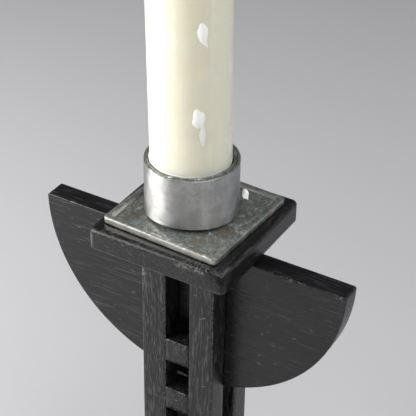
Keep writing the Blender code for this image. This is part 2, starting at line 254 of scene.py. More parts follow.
# %% [markdown]
# ## The finish: ebonised oak
# Oak is stained black with iron, rubbed back and waxed. The open pores stay visible as fine
# broken streaks along the grain, and as dots where the end grain shows. A picture of wood could
# be wrapped round each piece, but it would stretch and its edges would not meet. A noise that
# fills space, drawn out along the grain, gives streaks on the sides and dots on the ends of the
# same block, as a real block has. One function makes it, for the black oak and the raw dowels.

# %% Oak
def oak(name, grain_turn, grain_length, seed, ground, streak, streak_share=0.55, gloss=0.30,
        pore_scale=1150.0):
    """Streaked wood. grain_turn takes the Z axis to the grain's direction."""
    made, nodes, links = empty_material(name)

    place = nodes.new("ShaderNodeTexCoord")
    place.label = "where in the block"
    turned = nodes.new("ShaderNodeMapping")
    turned.label = "turn and draw out along the grain"
    turned.vector_type = "TEXTURE"
    set_inputs(turned, {"Location": (0.013 * seed, 0.029 * seed, 0.047 * seed), "Rotation": grain_turn,
                        "Scale": (1.0, 1.0, grain_length)})

    pores = nodes.new("ShaderNodeTexNoise")
    pores.label = "fine pores"
    set_inputs(pores, {"Scale": pore_scale, "Detail": 2.0, "Roughness": 0.65, "Distortion": 0.15})
    pore_ramp = nodes.new("ShaderNodeMapRange")
    pore_ramp.label = "only the open pores"
    set_inputs(pore_ramp, {"From Min": streak_share, "From Max": streak_share + 0.14})
    streaks = nodes.new("ShaderNodeTexNoise")
    streaks.label = "bundles of streaks"
    set_inputs(streaks, {"Scale": 420.0, "Detail": 4.0, "Roughness": 0.6, "Distortion": 0.3})
    streak_ramp = nodes.new("ShaderNodeMapRange")
    streak_ramp.label = "streak strength"
    set_inputs(streak_ramp, {"From Min": 0.38, "From Max": 0.62, "To Min": 0.25})
    both = nodes.new("ShaderNodeMath")
    both.label = "pores inside bundles"
    both.operation = "MULTIPLY"

    bands = nodes.new("ShaderNodeTexNoise")
    bands.label = "growth bands"
    set_inputs(bands, {"Scale": 95.0, "Detail": 2.0, "Distortion": 0.6})
    band_ramp = nodes.new("ShaderNodeMapRange")
    band_ramp.label = "dark and light bands"
    set_inputs(band_ramp, {"From Min": 0.3, "From Max": 0.7, "To Min": 0.72, "To Max": 1.25})

    wood_colour = nodes.new("ShaderNodeMix")
    wood_colour.label = "ground to streak"
    wood_colour.data_type = "RGBA"
    set_inputs(wood_colour, {"A": (*ground, 1.0), "B": (*streak, 1.0)})
    banded = nodes.new("ShaderNodeVectorMath")
    banded.label = "shade the bands"
    banded.operation = "SCALE"

    wear = nodes.new("ShaderNodeAttribute")
    wear.label = "arrises"
    wear.attribute_name = "wear"
    rub = nodes.new("ShaderNodeAttribute")
    rub.label = "rubbed places"
    rub.attribute_name = "rub"
    patchy = nodes.new("ShaderNodeTexNoise")
    patchy.label = "wear comes in patches"
    set_inputs(patchy, {"Scale": 520.0, "Detail": 5.0, "Roughness": 0.7})
    patch_ramp = nodes.new("ShaderNodeMapRange")
    patch_ramp.label = "patches"
    set_inputs(patch_ramp, {"From Min": 0.50, "From Max": 0.72})
    worn = nodes.new("ShaderNodeMath")
    worn.label = "patchy arrises"
    worn.operation = "MULTIPLY"
    rub_ramp = nodes.new("ShaderNodeMapRange")
    rub_ramp.label = "rubs come in crumbs"
    set_inputs(rub_ramp, {"From Min": 0.42, "From Max": 0.60})
    rub_patches = nodes.new("ShaderNodeMath")
    rub_patches.label = "crumbly rubs"
    rub_patches.operation = "MULTIPLY"
    rubbed = nodes.new("ShaderNodeMath")
    rubbed.label = "and the rubbed places"
    rubbed.operation = "MAXIMUM"
    # Bare dusty wood shows on worn arrises and rubbed places. The same pale colour also paints a highlight
    # where the rub mark lies on an arris that catches the light.
    bare = nodes.new("ShaderNodeMix")
    bare.label = "bare dusty wood and painted highlight"
    bare.data_type = "RGBA"
    bare.inputs["B"].default_value = (0.40, 0.39, 0.37, 1.0)

    scratch_map = nodes.new("ShaderNodeMapping")
    scratch_map.label = "scratches run another way"
    scratch_map.vector_type = "TEXTURE"
    set_inputs(scratch_map, {"Rotation": (0.5, 0.35 + 0.3 * seed, 0.8), "Scale": (1.0, 1.0, 14.0)})
    scratches = nodes.new("ShaderNodeTexNoise")
    scratches.label = "scratches and dust"
    set_inputs(scratches, {"Scale": 620.0, "Detail": 1.0})
    scratch_ramp = nodes.new("ShaderNodeMapRange")
    scratch_ramp.label = "only a few"
    set_inputs(scratch_ramp, {"From Min": 0.70, "From Max": 0.80, "To Max": 0.55})
    scratched = nodes.new("ShaderNodeMix")
    scratched.label = "pale scratches"
    scratched.data_type = "RGBA"
    scratched.inputs["B"].default_value = (0.16, 0.16, 0.165, 1.0)

    roughness = nodes.new("ShaderNodeMapRange")
    roughness.label = "pores are duller"
    set_inputs(roughness, {"To Min": gloss, "To Max": gloss + 0.18})
    relief = nodes.new("ShaderNodeBump")
    relief.label = "open pores"
    relief.invert = True
    set_inputs(relief, {"Strength": 0.45, "Distance": 0.00035})
    shader = nodes.new("ShaderNodeBsdfPrincipled")
    shader.label = "waxed wood"
    shader.inputs["Specular IOR Level"].default_value = 0.5
    output = nodes.new("ShaderNodeOutputMaterial")

    links.new(place.outputs["Object"], turned.inputs["Vector"])
    links.new(turned.outputs["Vector"], pores.inputs["Vector"])
    links.new(turned.outputs["Vector"], streaks.inputs["Vector"])
    links.new(turned.outputs["Vector"], bands.inputs["Vector"])
    links.new(pores.outputs["Fac"], pore_ramp.inputs["Value"])
    links.new(streaks.outputs["Fac"], streak_ramp.inputs["Value"])
    links.new(pore_ramp.outputs["Result"], both.inputs[0])
    links.new(streak_ramp.outputs["Result"], both.inputs[1])
    links.new(bands.outputs["Fac"], band_ramp.inputs["Value"])
    links.new(both.outputs["Value"], wood_colour.inputs["Factor"])
    links.new(wood_colour.outputs["Result"], banded.inputs[0])
    links.new(band_ramp.outputs["Result"], banded.inputs["Scale"])
    links.new(place.outputs["Object"], patchy.inputs["Vector"])
    links.new(patchy.outputs["Fac"], patch_ramp.inputs["Value"])
    links.new(patch_ramp.outputs["Result"], worn.inputs[0])
    links.new(wear.outputs["Fac"], worn.inputs[1])
    links.new(worn.outputs["Value"], rubbed.inputs[0])
    links.new(patchy.outputs["Fac"], rub_ramp.inputs["Value"])
    links.new(rub_ramp.outputs["Result"], rub_patches.inputs[0])
    links.new(rub.outputs["Fac"], rub_patches.inputs[1])
    links.new(rub_patches.outputs["Value"], rubbed.inputs[1])
    links.new(place.outputs["Object"], scratch_map.inputs["Vector"])
    links.new(scratch_map.outputs["Vector"], scratches.inputs["Vector"])
    links.new(scratches.outputs["Fac"], scratch_ramp.inputs["Value"])
    links.new(banded.outputs["Vector"], scratched.inputs["A"])
    links.new(scratch_ramp.outputs["Result"], scratched.inputs["Factor"])
    links.new(scratched.outputs["Result"], bare.inputs["A"])
    links.new(rubbed.outputs["Value"], bare.inputs["Factor"])
    links.new(bare.outputs["Result"], shader.inputs["Base Color"])
    links.new(both.outputs["Value"], roughness.inputs["Value"])
    links.new(roughness.outputs["Result"], shader.inputs["Roughness"])
    links.new(both.outputs["Value"], relief.inputs["Height"])
    links.new(relief.outputs["Normal"], shader.inputs["Normal"])
    links.new(shader.outputs["BSDF"], output.inputs["Surface"])

    groups = (("grain", (place, turned, pores, pore_ramp, streaks, streak_ramp, both)),
              ("bands", (bands, band_ramp, wood_colour, banded)),
              ("wear", (wear, rub, patchy, patch_ramp, worn, rub_ramp, rub_patches, rubbed, bare)),
              ("scratches", (scratch_map, scratches, scratch_ramp, scratched)),
              ("surface", (roughness, relief, shader, output)))
    lay_out(nodes, groups)
    return made


BLACK_GROUND = (0.0045, 0.0045, 0.0050)
BLACK_STREAK = (0.0540, 0.0535, 0.0550)
ALONG_Y = (math.radians(90), 0.0, 0.0)


def black_oak(name, grain_turn, grain_length, seed, ground=BLACK_GROUND, streak=BLACK_STREAK,
              **settings):
    """The same oak, stained black."""
    return oak(name, grain_turn, grain_length, seed, ground, streak, **settings)


# %% [markdown]
# ## Flat-sided pieces
# Sticks, boards and the half-disc wing are all slabs: a flat outline with some thickness, and an
# arris of a given radius all round. Each outline is a chain of round corners joined by straight
# lines, so the direction out of it is known at every point, and the arris is a quarter circle:
# the outline moves in by r(1 - sin t) as the height rises by r(1 - cos t).

# %% Outlines and slabs
def outline_of(corners, straight_steps, corner_steps):
    """Points and outward directions of round corners (x, y, radius, start, end), joined up."""
    points, directions = [], []
    for x, y, radius, start, end in corners:
        step_count = corner_steps if np.isscalar(corner_steps) else corner_steps[len(points)]
        angles = np.radians(np.linspace(start, end, step_count + 1))
        ray = np.stack([np.cos(angles), np.sin(angles)], axis=1)
        points.append(np.array((x, y)) + radius * ray)
        directions.append(ray)
    chain, facing = [], []
    for number, here in enumerate(points):
        there = points[(number + 1) % len(points)][0]
        apart = np.linalg.norm(there - here[-1])
        share = np.linspace(0, 1, straight_steps[number] + 1)[1:-1, None]
        straight = here[-1] + (there - here[-1]) * share
        if apart < 1e-6:            # two arcs that meet: keep their shared point once
            here, directions[number] = here[:-1], directions[number][:-1]
            straight = straight[:0]
        chain += [here, straight]
        facing += [directions[number], np.repeat(directions[number][-1:], len(straight), axis=0)]
    return np.vstack(chain), np.vstack(facing)


def box_outline(low, high, radius, spacing, corner_steps):
    """A rectangle with four round corners, anticlockwise from the top right."""
    (x0, y0), (x1, y1) = low, high
    left, right, near_side, far_side = x0 + radius, x1 - radius, y0 + radius, y1 - radius
    corners = ((right, far_side, radius, 0, 90), (left, far_side, radius, 90, 180),
               (left, near_side, radius, 180, 270), (right, near_side, radius, 270, 360))
    steps = [max(1, int(round(side / spacing))) for side in (x1 - x0, y1 - y0)] * 2
    return outline_of(corners, steps, corner_steps)


def slab(outline, low, high, low_arris, high_arris, side_spacing, face_rings=8, arris_steps=4):
    """Loops (u, v, w) of an outline carried from w = low to w = high.

    Each arris is a quarter of an ellipse, given by how far it reaches in and how far along.
    """
    points, directions = (np.array(part)[None] for part in outline)
    turn = np.linspace(0, np.pi / 2, arris_steps + 1)
    low_in, low_along = low_arris
    high_in, high_along = high_arris
    count = max(2, int(round((high - low - low_along - high_along) / side_spacing)))
    sides = np.linspace(low + low_along, high - high_along, count + 1)[1:-1]
    heights = np.concatenate([low + low_along * (1 - np.cos(turn)), sides,
                              high - high_along * (1 - np.sin(turn))])
    insets = np.concatenate([low_in * (1 - np.sin(turn)), np.zeros(len(sides)),
                             high_in * (1 - np.cos(turn))])
    walls = points - directions * insets[:, None, None]
    rings = np.sin(np.linspace(0, np.pi / 2, face_rings + 2))[1:-1][:, None, None]
    near_face, far_face = (wall.mean(axis=0) + (wall - wall.mean(axis=0)) * rings
                           for wall in (walls[0], walls[-1]))
    flat = np.concatenate([near_face, walls, far_face[::-1]])
    levels = np.concatenate([np.full(face_rings, low), heights, np.full(face_rings, high)])
    tall = np.broadcast_to(levels[:, None, None], (*flat.shape[:2], 1))
    return np.concatenate([flat, tall], axis=2)


def front_to_back(loops):
    """Turn loops drawn in (u, v, w) so that u is X, v is Z and w is Y."""
    return loops[:, :, [0, 2, 1]]


def worn_edges(loops, gentle=220.0, sharp=1100.0):
    """From 0 on a flat to 1 on a sharp arris, by how fast the surface turns."""
    return np.clip((sharpness(loops) - gentle) / (sharp - gentle), 0, 1)


def dented(loops, dents):
    """Press (x, y, z, radius, depth) dents into the surface, each a bell curve."""
    facing = outward(loops)
    for x, y, z, radius, depth in dents:
        loops = loops - facing * (depth * near(loops, [(x, y, z, radius)]))[:, :, None]
    return loops


# %% [markdown]
# ## The two ladders
# Each ladder is glued up from two full-height stiles and five short rails, so the square holes
# need no mortising. One board with holes cut by a Boolean would look much the same from afar,
# but separate sticks let the grain change at every joint, as it does on the real thing.

# %% Stiles and rails
STICK_ARRIS = 0.0006
RAIL_ARRIS = 0.00015
GLUE_LINE = 0.00027           # how far a rail reaches into the gap beside it
PLANED_OFF = 0.00006          # how far a planed face lies inside the solid, at the most
STICK_WORN_OFF = 0.00014      # and how much more is gone from an arris


def stick(node, finish, arris=STICK_ARRIS, glued=0.0, rub=(), seed=0):
    """A square stick that fills its CAD solid, its sides planed very slightly uneven.

    A glued stick reaches that much further left and right, into its glue line.
    """
    low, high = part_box(node)
    low.x, high.x = low.x - glued, high.x + glued
    corner = arris + 0.00005
    outline = box_outline((low.x, low.y), (high.x, high.y), corner, 0.0026, 3)
    loops = slab(outline, low.z, high.z, (arris, arris), (arris, arris), 0.0030, 4, 3)
    hollow = 0.5 + 0.5 * slow_waves(loops, 0.034, seed)
    wear = worn_edges(loops)
    loops = loops - outward(loops) * (hollow * (PLANED_OFF + STICK_WORN_OFF * wear))[:, :, None]
    return piece(f"{node}_oak", loops, finish, "column", "ebonised_oak", (node,),
                 wear=wear, rub=near(loops, rub))


STILE_GROUND = (0.0028, 0.0028, 0.0032)
STILE_STREAK = (0.0800, 0.0790, 0.0800)
left_stile_oak = black_oak("oak_left_stiles", (0, math.radians(-4.5), 0), 9.0, 1, STILE_GROUND,
                           STILE_STREAK, streak_share=0.50, pore_scale=1250.0)
right_stile_oak = black_oak("oak_right_stiles", (0, math.radians(1.5), 0), 12.0, 2, STILE_GROUND,
                            STILE_STREAK, streak_share=0.50, pore_scale=1250.0)
rail_oak = black_oak("oak_rails", (0, math.radians(6.0), 0), 3.5, 3, streak_share=0.50)

stile_x, stile_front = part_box("front_stile_left")[0].x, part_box("front_stile_left")[0].y
cap_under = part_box("cap_block")[0].z
LEFT_ARRIS_RUBS = [(stile_x, stile_front, cap_under - drop, 0.0016)
                   for drop in (0.003, 0.007, 0.012, 0.018, 0.024)]
LEFT_ARRIS_RUBS.append((stile_x, stile_front, cap_under - 0.0325, 0.0008))
RIGHT_STILE_SCRATCH = [(0.0199 + 0.0009 * t, stile_front, cap_under - 0.018 + 0.006 * t, 0.0004)
                       for t in (0.0, 0.25, 0.5, 0.75, 1.0)]
for side in ("front", "rear"):
    seen = side == "front"
    stick(f"{side}_stile_left", left_stile_oak, rub=LEFT_ARRIS_RUBS if seen else (), seed=11)
    stick(f"{side}_stile_right", right_stile_oak, rub=RIGHT_STILE_SCRATCH if seen else (), seed=12)
    for number in range(1, 6):
        stick(f"{side}_rail_{number}", rail_oak, arris=RAIL_ARRIS, glued=GLUE_LINE, seed=20 + number)
for number, node in enumerate(("spacer_middle", "spacer_foot")):
    stick(node, rail_oak, seed=30 + number)

# %% [markdown]
# ## The half-disc wing
# The wing is a half disc sawn from one board, its grain nearly level, held in the gap between
# the ladders with its flat edge up. Its outline is one long arc and two small ones that round
# the tips. A small circle that touches both the arc and the flat edge from inside has its
# centre at a depth r and a distance R - r from the big centre.

# %% Wing
WING_ARRIS = 0.0008
WING_WEAR = 0.25
TIP_RADIUS = 0.0016
wing_radius = wing_high.x
wing_top = wing_high.z
tip_tilt = math.degrees(math.asin(TIP_RADIUS / (wing_radius - TIP_RADIUS)))
tip_x = math.sqrt((wing_radius - TIP_RADIUS) ** 2 - TIP_RADIUS ** 2)
wing_outline = outline_of(
    ((0.0, wing_top, wing_radius, 180 + tip_tilt, 360 - tip_tilt),
     (tip_x, wing_top - TIP_RADIUS, TIP_RADIUS, -tip_tilt, 90),
     (-tip_x, wing_top - TIP_RADIUS, TIP_RADIUS, 90, 180 + tip_tilt)),
    (1, 190, 1), (300, 6, 6))
wing_loops = front_to_back(slab(wing_outline, wing_low.y, wing_high.y, (WING_ARRIS, WING_ARRIS),
                                (WING_ARRIS, WING_ARRIS), 0.0013, face_rings=26))
wing_wear = worn_edges(wing_loops)
saw_marks = slow_waves(wing_loops, 0.05, 41)
wing_loops = wing_loops - outward(wing_loops) * (0.00005 + 0.00005 * saw_marks)[:, :, None]
WING_DENTS = ((0.0680, wing_low.y, wing_top, 0.0011, 0.0010),
              (0.0735, wing_low.y, wing_top, 0.0013, 0.0007),
              (0.1010, wing_low.y, wing_top - 0.0010, 0.0009, 0.0009),
              (-0.0880, wing_low.y, wing_top, 0.0010, 0.0004))
wing_loops = dented(wing_loops, WING_DENTS)
WING_RUBS = [(0.0685, wing_low.y, wing_top - 0.0014, 0.0006),
             (0.1012, wing_low.y, wing_top - 0.0018, 0.0007)]
wing_oak = black_oak("oak_wing", (0, math.radians(89.0), 0), 24.0, 4,
                     streak=(0.0500, 0.0500, 0.0510))
piece("wing_panel_oak", wing_loops, wing_oak, "column", "ebonised_oak", ("wing_panel",),
      wear=wing_wear * WING_WEAR, rub=near(wing_loops, WING_RUBS))

# %% [markdown]
# ## Cap and base boards
# The cap is a square board with slightly round corners and a flattened arris all round its top,
# and the two base boards repeat it. The outline is drawn once, looking down, and carried up; the
# top arris is a quarter of an ellipse, wider than it is deep, as a plane leaves it. The cap's
# front right corner has been knocked, which presses its top in.

# %% Boards
BOARD_CORNER = 0.0042
BOARD_WORN_OFF = 0.00012
BOARD_WEAR = 0.3
TOP_ARRIS = (0.0036, 0.0028)
UNDER_ARRIS = (0.0015, 0.0015)


def board(node, finish, rub=(), dents=(), seed=0):
    """A board that fills its CAD solid, its faces planed very slightly uneven."""
    low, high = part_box(node)
    outline = box_outline((low.x, low.y), (high.x, high.y), BOARD_CORNER, 0.0018, 9)
    loops = slab(outline, low.z, high.z, UNDER_ARRIS, TOP_ARRIS, 0.0014, 20, 7)
    wear = worn_edges(loops, 150.0, 700.0)
    hollow = 0.5 + 0.5 * slow_waves(loops, 0.042, seed)
    loops = loops - outward(loops) * (hollow * (PLANED_OFF + BOARD_WORN_OFF * wear))[:, :, None]
    loops = dented(loops, dents)
    return piece(f"{node}_oak", loops, finish, "column", "ebonised_oak", (node,),
                 wear=wear * BOARD_WEAR, rub=near(loops, rub))


cap_low, cap_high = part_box("cap_block")
cap_oak = black_oak("oak_cap", ALONG_Y, 12.0, 5, streak_share=0.53)
base_oak = black_oak("oak_base", (math.radians(90), 0.0, math.radians(90)), 12.0, 6)
ARRIS_IN = 0.0006             # a painted highlight on an upright corner lies this far inside the box
# The marks up the front left upright corner are a painted highlight, where that arris catches the key
# light; the marks along the front, at the top and at the foot, are rubs.
CAP_RUBS_AND_HIGHLIGHT = [(cap_low.x + ARRIS_IN, cap_low.y + ARRIS_IN, cap_low.z + height, 0.0011)
            for height in (0.0040, 0.0060, 0.0080, 0.0095)]
CAP_RUBS_AND_HIGHLIGHT += [(x, cap_low.y, cap_high.z - 0.0030, 0.0007)
             for x in (0.0160, 0.0185, 0.0205, 0.0240, 0.0285, 0.0320)]
CAP_RUBS_AND_HIGHLIGHT += [(x, cap_low.y, cap_low.z + 0.0004, 0.0007) for x in (0.0370, 0.0405, 0.0440)]
CORNER_KNOCK = (cap_high.x, cap_low.y, cap_high.z, 0.0052, 0.0034)
board("cap_block", cap_oak, rub=CAP_RUBS_AND_HIGHLIGHT, dents=(CORNER_KNOCK,), seed=51)
for number, node in enumerate(("base_step", "base_plinth")):
    board(node, base_oak, seed=52 + number)

# %% [markdown]
# ## The finish: dull pewter
# Pewter is a soft grey tin alloy. The cup has been brushed round and round, so its finish is
# fine level lines, and its highlights are drawn out upright. The plate was left to tarnish, and
# hot wax and water have stained it in swirls of grey, pale blue and brown. Both have the same
# make-up, so one function mixes brushing and staining; the brushing follows the UV map, and the
# stains are a noise that is bent by another noise until it swirls.

# %% Pewter
def pewter(name, bare, brushing, stain_amount, roughness_low, roughness_high, seed,
           drawn_shine=0.0):
    """Grey metal with brush lines and swirling stains, each in its own strength.

    drawn_shine stretches the highlights up and down, across level brush lines.
    """
    made, nodes, links = empty_material(name)

    surface = nodes.new("ShaderNodeTexCoord")
    surface.label = "around and along"
    drawn = nodes.new("ShaderNodeMapping")
    drawn.label = "draw the lines out"
    drawn.vector_type = "TEXTURE"
    drawn.inputs["Scale"].default_value = (28.0, 1.0, 1.0)
    lines = nodes.new("ShaderNodeTexNoise")
    lines.label = "brush lines"
    set_inputs(lines, {"Scale": 1500.0, "Detail": 3.0, "Roughness": 0.7})
    line_shade = nodes.new("ShaderNodeMapRange")
    line_shade.label = "lines in the colour"
    set_inputs(line_shade, {"From Min": 0.25, "From Max": 0.75, "To Min": 1.0 - 0.28 * brushing,
                            "To Max": 1.0 + 0.16 * brushing})
    smears = nodes.new("ShaderNodeTexNoise")
    smears.label = "handling smears"
    set_inputs(smears, {"Scale": 120.0, "Detail": 5.0, "Roughness": 0.62, "Distortion": 0.4})
    smear_shade = nodes.new("ShaderNodeMapRange")
    smear_shade.label = "smears in the colour"
    set_inputs(smear_shade, {"From Min": 0.3, "From Max": 0.7, "To Min": 0.76, "To Max": 1.14})
    shade = nodes.new("ShaderNodeMath")
    shade.label = "lines and smears"
    shade.operation = "MULTIPLY"
    metal = nodes.new("ShaderNodeVectorMath")
    metal.label = "shaded metal"
    metal.operation = "SCALE"
    metal.inputs[0].default_value = bare

    offset = nodes.new("ShaderNodeMapping")
    offset.label = "pick a patch of stains"
    offset.inputs["Location"].default_value = (0.31 * seed, 0.17 * seed, 0.05 * seed)
    bend = nodes.new("ShaderNodeTexNoise")
    bend.label = "what bends the stains"
    set_inputs(bend, {"Scale": 85.0, "Detail": 2.0})
    bend_by = nodes.new("ShaderNodeVectorMath")
    bend_by.label = "bend by about a centimetre"
    bend_by.operation = "MULTIPLY_ADD"
    bend_by.inputs[1].default_value = (0.022, 0.022, 0.022)
    swirls = nodes.new("ShaderNodeTexNoise")
    swirls.label = "swirls"
    set_inputs(swirls, {"Scale": 150.0, "Detail": 3.0, "Roughness": 0.55, "Distortion": 1.6})
    tints = nodes.new("ShaderNodeValToRGB")
    tints.label = "colours of tarnish and wax"
    ramp = tints.color_ramp
    stops = ((0.30, (0.035, 0.034, 0.027)), (0.38, (0.160, 0.110, 0.066)),
             (0.43, (0.075, 0.076, 0.058)), (0.49, (0.190, 0.210, 0.190)),
             (0.53, (0.060, 0.060, 0.046)), (0.58, (0.320, 0.400, 0.410)),
             (0.63, (0.085, 0.083, 0.062)), (0.70, (0.620, 0.680, 0.690)))
    while len(ramp.elements) < len(stops):
        ramp.elements.new(0.5)
    for element, (position, tint) in zip(ramp.elements, stops):
        element.position = position
        element.color = (*tint, 1.0)
    stained = nodes.new("ShaderNodeAttribute")
    stained.label = "where stains gather"
    stained.attribute_name = "stain"
    amount = nodes.new("ShaderNodeMath")
    amount.label = "how strong they are"
    amount.operation = "MULTIPLY"
    amount.inputs[1].default_value = stain_amount
    coloured = nodes.new("ShaderNodeMix")
    coloured.label = "metal under stains"
    coloured.data_type = "RGBA"

    pits = nodes.new("ShaderNodeTexNoise")
    pits.label = "pits and grit"
    set_inputs(pits, {"Scale": 900.0, "Detail": 2.0})
    pit_ramp = nodes.new("ShaderNodeMapRange")
    pit_ramp.label = "a few dark pits"
    set_inputs(pit_ramp, {"From Min": 0.26, "From Max": 0.36, "To Min": 0.55})
    pitted = nodes.new("ShaderNodeVectorMath")
    pitted.label = "pits in the colour"
    pitted.operation = "SCALE"

    metallic = nodes.new("ShaderNodeMapRange")
    metallic.label = "stains are less metallic"
    set_inputs(metallic, {"To Min": 1.0, "To Max": 0.45})
    roughness = nodes.new("ShaderNodeMapRange")
    roughness.label = "smears dull the shine"
    set_inputs(roughness, {"From Min": 0.3, "From Max": 0.7, "To Min": roughness_low,
                           "To Max": roughness_high})
    line_relief = nodes.new("ShaderNodeBump")
    line_relief.label = "scratched lines"
    set_inputs(line_relief, {"Strength": 0.25 * brushing, "Distance": 0.00010})
    stain_relief = nodes.new("ShaderNodeBump")
    stain_relief.label = "crusts of wax"
    set_inputs(stain_relief, {"Strength": 0.35 * stain_amount, "Distance": 0.00050})
    upright = nodes.new("ShaderNodeTangent")
    upright.label = "round the cup's axis"
    upright.direction_type = "RADIAL"
    upright.axis = "Z"
    shader = nodes.new("ShaderNodeBsdfPrincipled")
    shader.label = "pewter"
    set_inputs(shader, {"Anisotropic": drawn_shine, "Anisotropic Rotation": 0.25})
    output = nodes.new("ShaderNodeOutputMaterial")

    links.new(surface.outputs["UV"], drawn.inputs["Vector"])
    links.new(drawn.outputs["Vector"], lines.inputs["Vector"])
    links.new(lines.outputs["Fac"], line_shade.inputs["Value"])
    links.new(surface.outputs["Object"], smears.inputs["Vector"])
    links.new(smears.outputs["Fac"], smear_shade.inputs["Value"])
    links.new(line_shade.outputs["Result"], shade.inputs[0])
    links.new(smear_shade.outputs["Result"], shade.inputs[1])
    links.new(shade.outputs["Value"], metal.inputs["Scale"])
    links.new(surface.outputs["Object"], offset.inputs["Vector"])
    links.new(offset.outputs["Vector"], bend.inputs["Vector"])
    links.new(bend.outputs["Color"], bend_by.inputs[0])
    links.new(offset.outputs["Vector"], bend_by.inputs[2])
    links.new(bend_by.outputs["Vector"], swirls.inputs["Vector"])
    links.new(swirls.outputs["Fac"], tints.inputs["Fac"])
    links.new(stained.outputs["Fac"], amount.inputs[0])
    links.new(amount.outputs["Value"], coloured.inputs["Factor"])
    links.new(metal.outputs["Vector"], coloured.inputs["A"])
    links.new(tints.outputs["Color"], coloured.inputs["B"])
    links.new(surface.outputs["Object"], pits.inputs["Vector"])
    links.new(pits.outputs["Fac"], pit_ramp.inputs["Value"])
    links.new(coloured.outputs["Result"], pitted.inputs[0])
    links.new(pit_ramp.outputs["Result"], pitted.inputs["Scale"])
    links.new(pitted.outputs["Vector"], shader.inputs["Base Color"])
    links.new(amount.outputs["Value"], metallic.inputs["Value"])
    links.new(metallic.outputs["Result"], shader.inputs["Metallic"])
    links.new(smears.outputs["Fac"], roughness.inputs["Value"])
    links.new(roughness.outputs["Result"], shader.inputs["Roughness"])
    links.new(lines.outputs["Fac"], line_relief.inputs["Height"])
    links.new(line_relief.outputs["Normal"], stain_relief.inputs["Normal"])
    links.new(swirls.outputs["Fac"], stain_relief.inputs["Height"])
    links.new(stain_relief.outputs["Normal"], shader.inputs["Normal"])
    links.new(upright.outputs["Tangent"], shader.inputs["Tangent"])
    links.new(shader.outputs["BSDF"], output.inputs["Surface"])

    groups = (("brushing", (surface, drawn, lines, line_shade, smears, smear_shade, shade, metal)),
              ("stains", (offset, bend, bend_by, swirls, tints, stained, amount, coloured)),
              ("pits", (pits, pit_ramp, pitted)),
              ("surface", (metallic, roughness, line_relief, stain_relief, upright, shader, output)))
    lay_out(nodes, groups)
    return made


cup_pewter = pewter("pewter_brushed", (0.56, 0.56, 0.55), 0.45, 0.55, 0.40, 0.50, 1, drawn_shine=0.8)
plate_pewter = pewter("pewter_stained", (0.60, 0.59, 0.55), 0.35, 0.85, 0.30, 0.50, 2)

# %% [markdown]
# ## The drip plate
# A square sheet with a rolled rim and a shallow groove inside it catches the wax. It has slewed
# a little on its one screw. Modelled from a grid it would need its corners cut and bevelled;
# as a set of square loops, each with its own inset and height, the rim's profile is exact. The
# outermost loops roll over as part of a circle, and the floor is dished by slow waves.

# %% Drip plate
PLATE_TURN = math.radians(-2.7)
PLATE_W = 0.0795
PLATE_CORNER = 0.0026
RIM_HEIGHT = 0.0047
FLOOR_HEIGHT = 0.0034
RIM_WIDTH = 0.0038
GROOVE_DEPTH = 0.0010
GROOVE_WIDTH = 0.0014
FOOT_EASE = 0.0007
ROLL_R = 0.0013
PIVOT_HOLE_R = 0.0024
CUP_FOOTPRINT_R = 0.0292      # the floor is dished only outside this
DISH_DEPTH = 0.00022
RIM_WOBBLE = 0.00010
BORDER_STAIN = 0.85           # the flat top of the border, against 1 for the floor
plate_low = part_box("drip_plate")[0]


def square_loop(half, corner, height):
    """One square loop with round corners at a height; every such loop has as many points."""
    centre = half - corner
    corners = [(centre * a, centre * b, corner, start, start + 90)
               for a, b, start in ((1, 1, 0), (-1, 1, 90), (-1, -1, 180), (1, -1, 270))]
    flat, _ = outline_of(corners, (30,) * 4, 6)
    return np.column_stack([flat, np.full(len(flat), height)])


def plate_loops():
    """Loops from the pivot hole under the plate, out round the rolled rim, and in over the floor."""
    half = PLATE_W / 2
    foot_turn = np.radians(np.linspace(0, 90, 4))
    rolled = [(FOOT_EASE * (1 - math.sin(a)), FOOT_EASE * (1 - math.cos(a))) for a in foot_turn]
    rolled += [(0.0, height) for height in (0.0015, 0.0022, 0.0029)]
    roll = np.radians(np.linspace(0, 90, 8))
    rolled += [(ROLL_R * (1 - math.cos(a)), RIM_HEIGHT - ROLL_R * (1 - math.sin(a))) for a in roll]
    lip = [(RIM_WIDTH * share, RIM_HEIGHT) for share in (0.55, 0.70)]
    groove_floor = FLOOR_HEIGHT - GROOVE_DEPTH
    lip += [(RIM_WIDTH * 0.90, RIM_HEIGHT - 0.0002), (RIM_WIDTH, FLOOR_HEIGHT + 0.0002),
            (RIM_WIDTH + 0.0004, groove_floor), (RIM_WIDTH + 0.0009, groove_floor),
            (RIM_WIDTH + GROOVE_WIDTH, FLOOR_HEIGHT)]
    floor = [(RIM_WIDTH + GROOVE_WIDTH + step, FLOOR_HEIGHT)
             for step in np.linspace(0.0010, 0.0313, 24)]
    under = [(inset, 0.0) for inset in np.linspace(0.034, 0.003, 6)]
    loops = [square_loop(half - inset, max(PLATE_CORNER - inset * 0.5, 0.0012), height)
             for inset, height in under + rolled + lip + floor]
    facing = loops[0][:, :2] / np.linalg.norm(loops[0][:, :2], axis=1, keepdims=True)
    for height in (FLOOR_HEIGHT, 0.0):
        loops.append(np.column_stack([facing * PIVOT_HOLE_R, np.full(len(facing), height)]))
    return np.stack(loops)


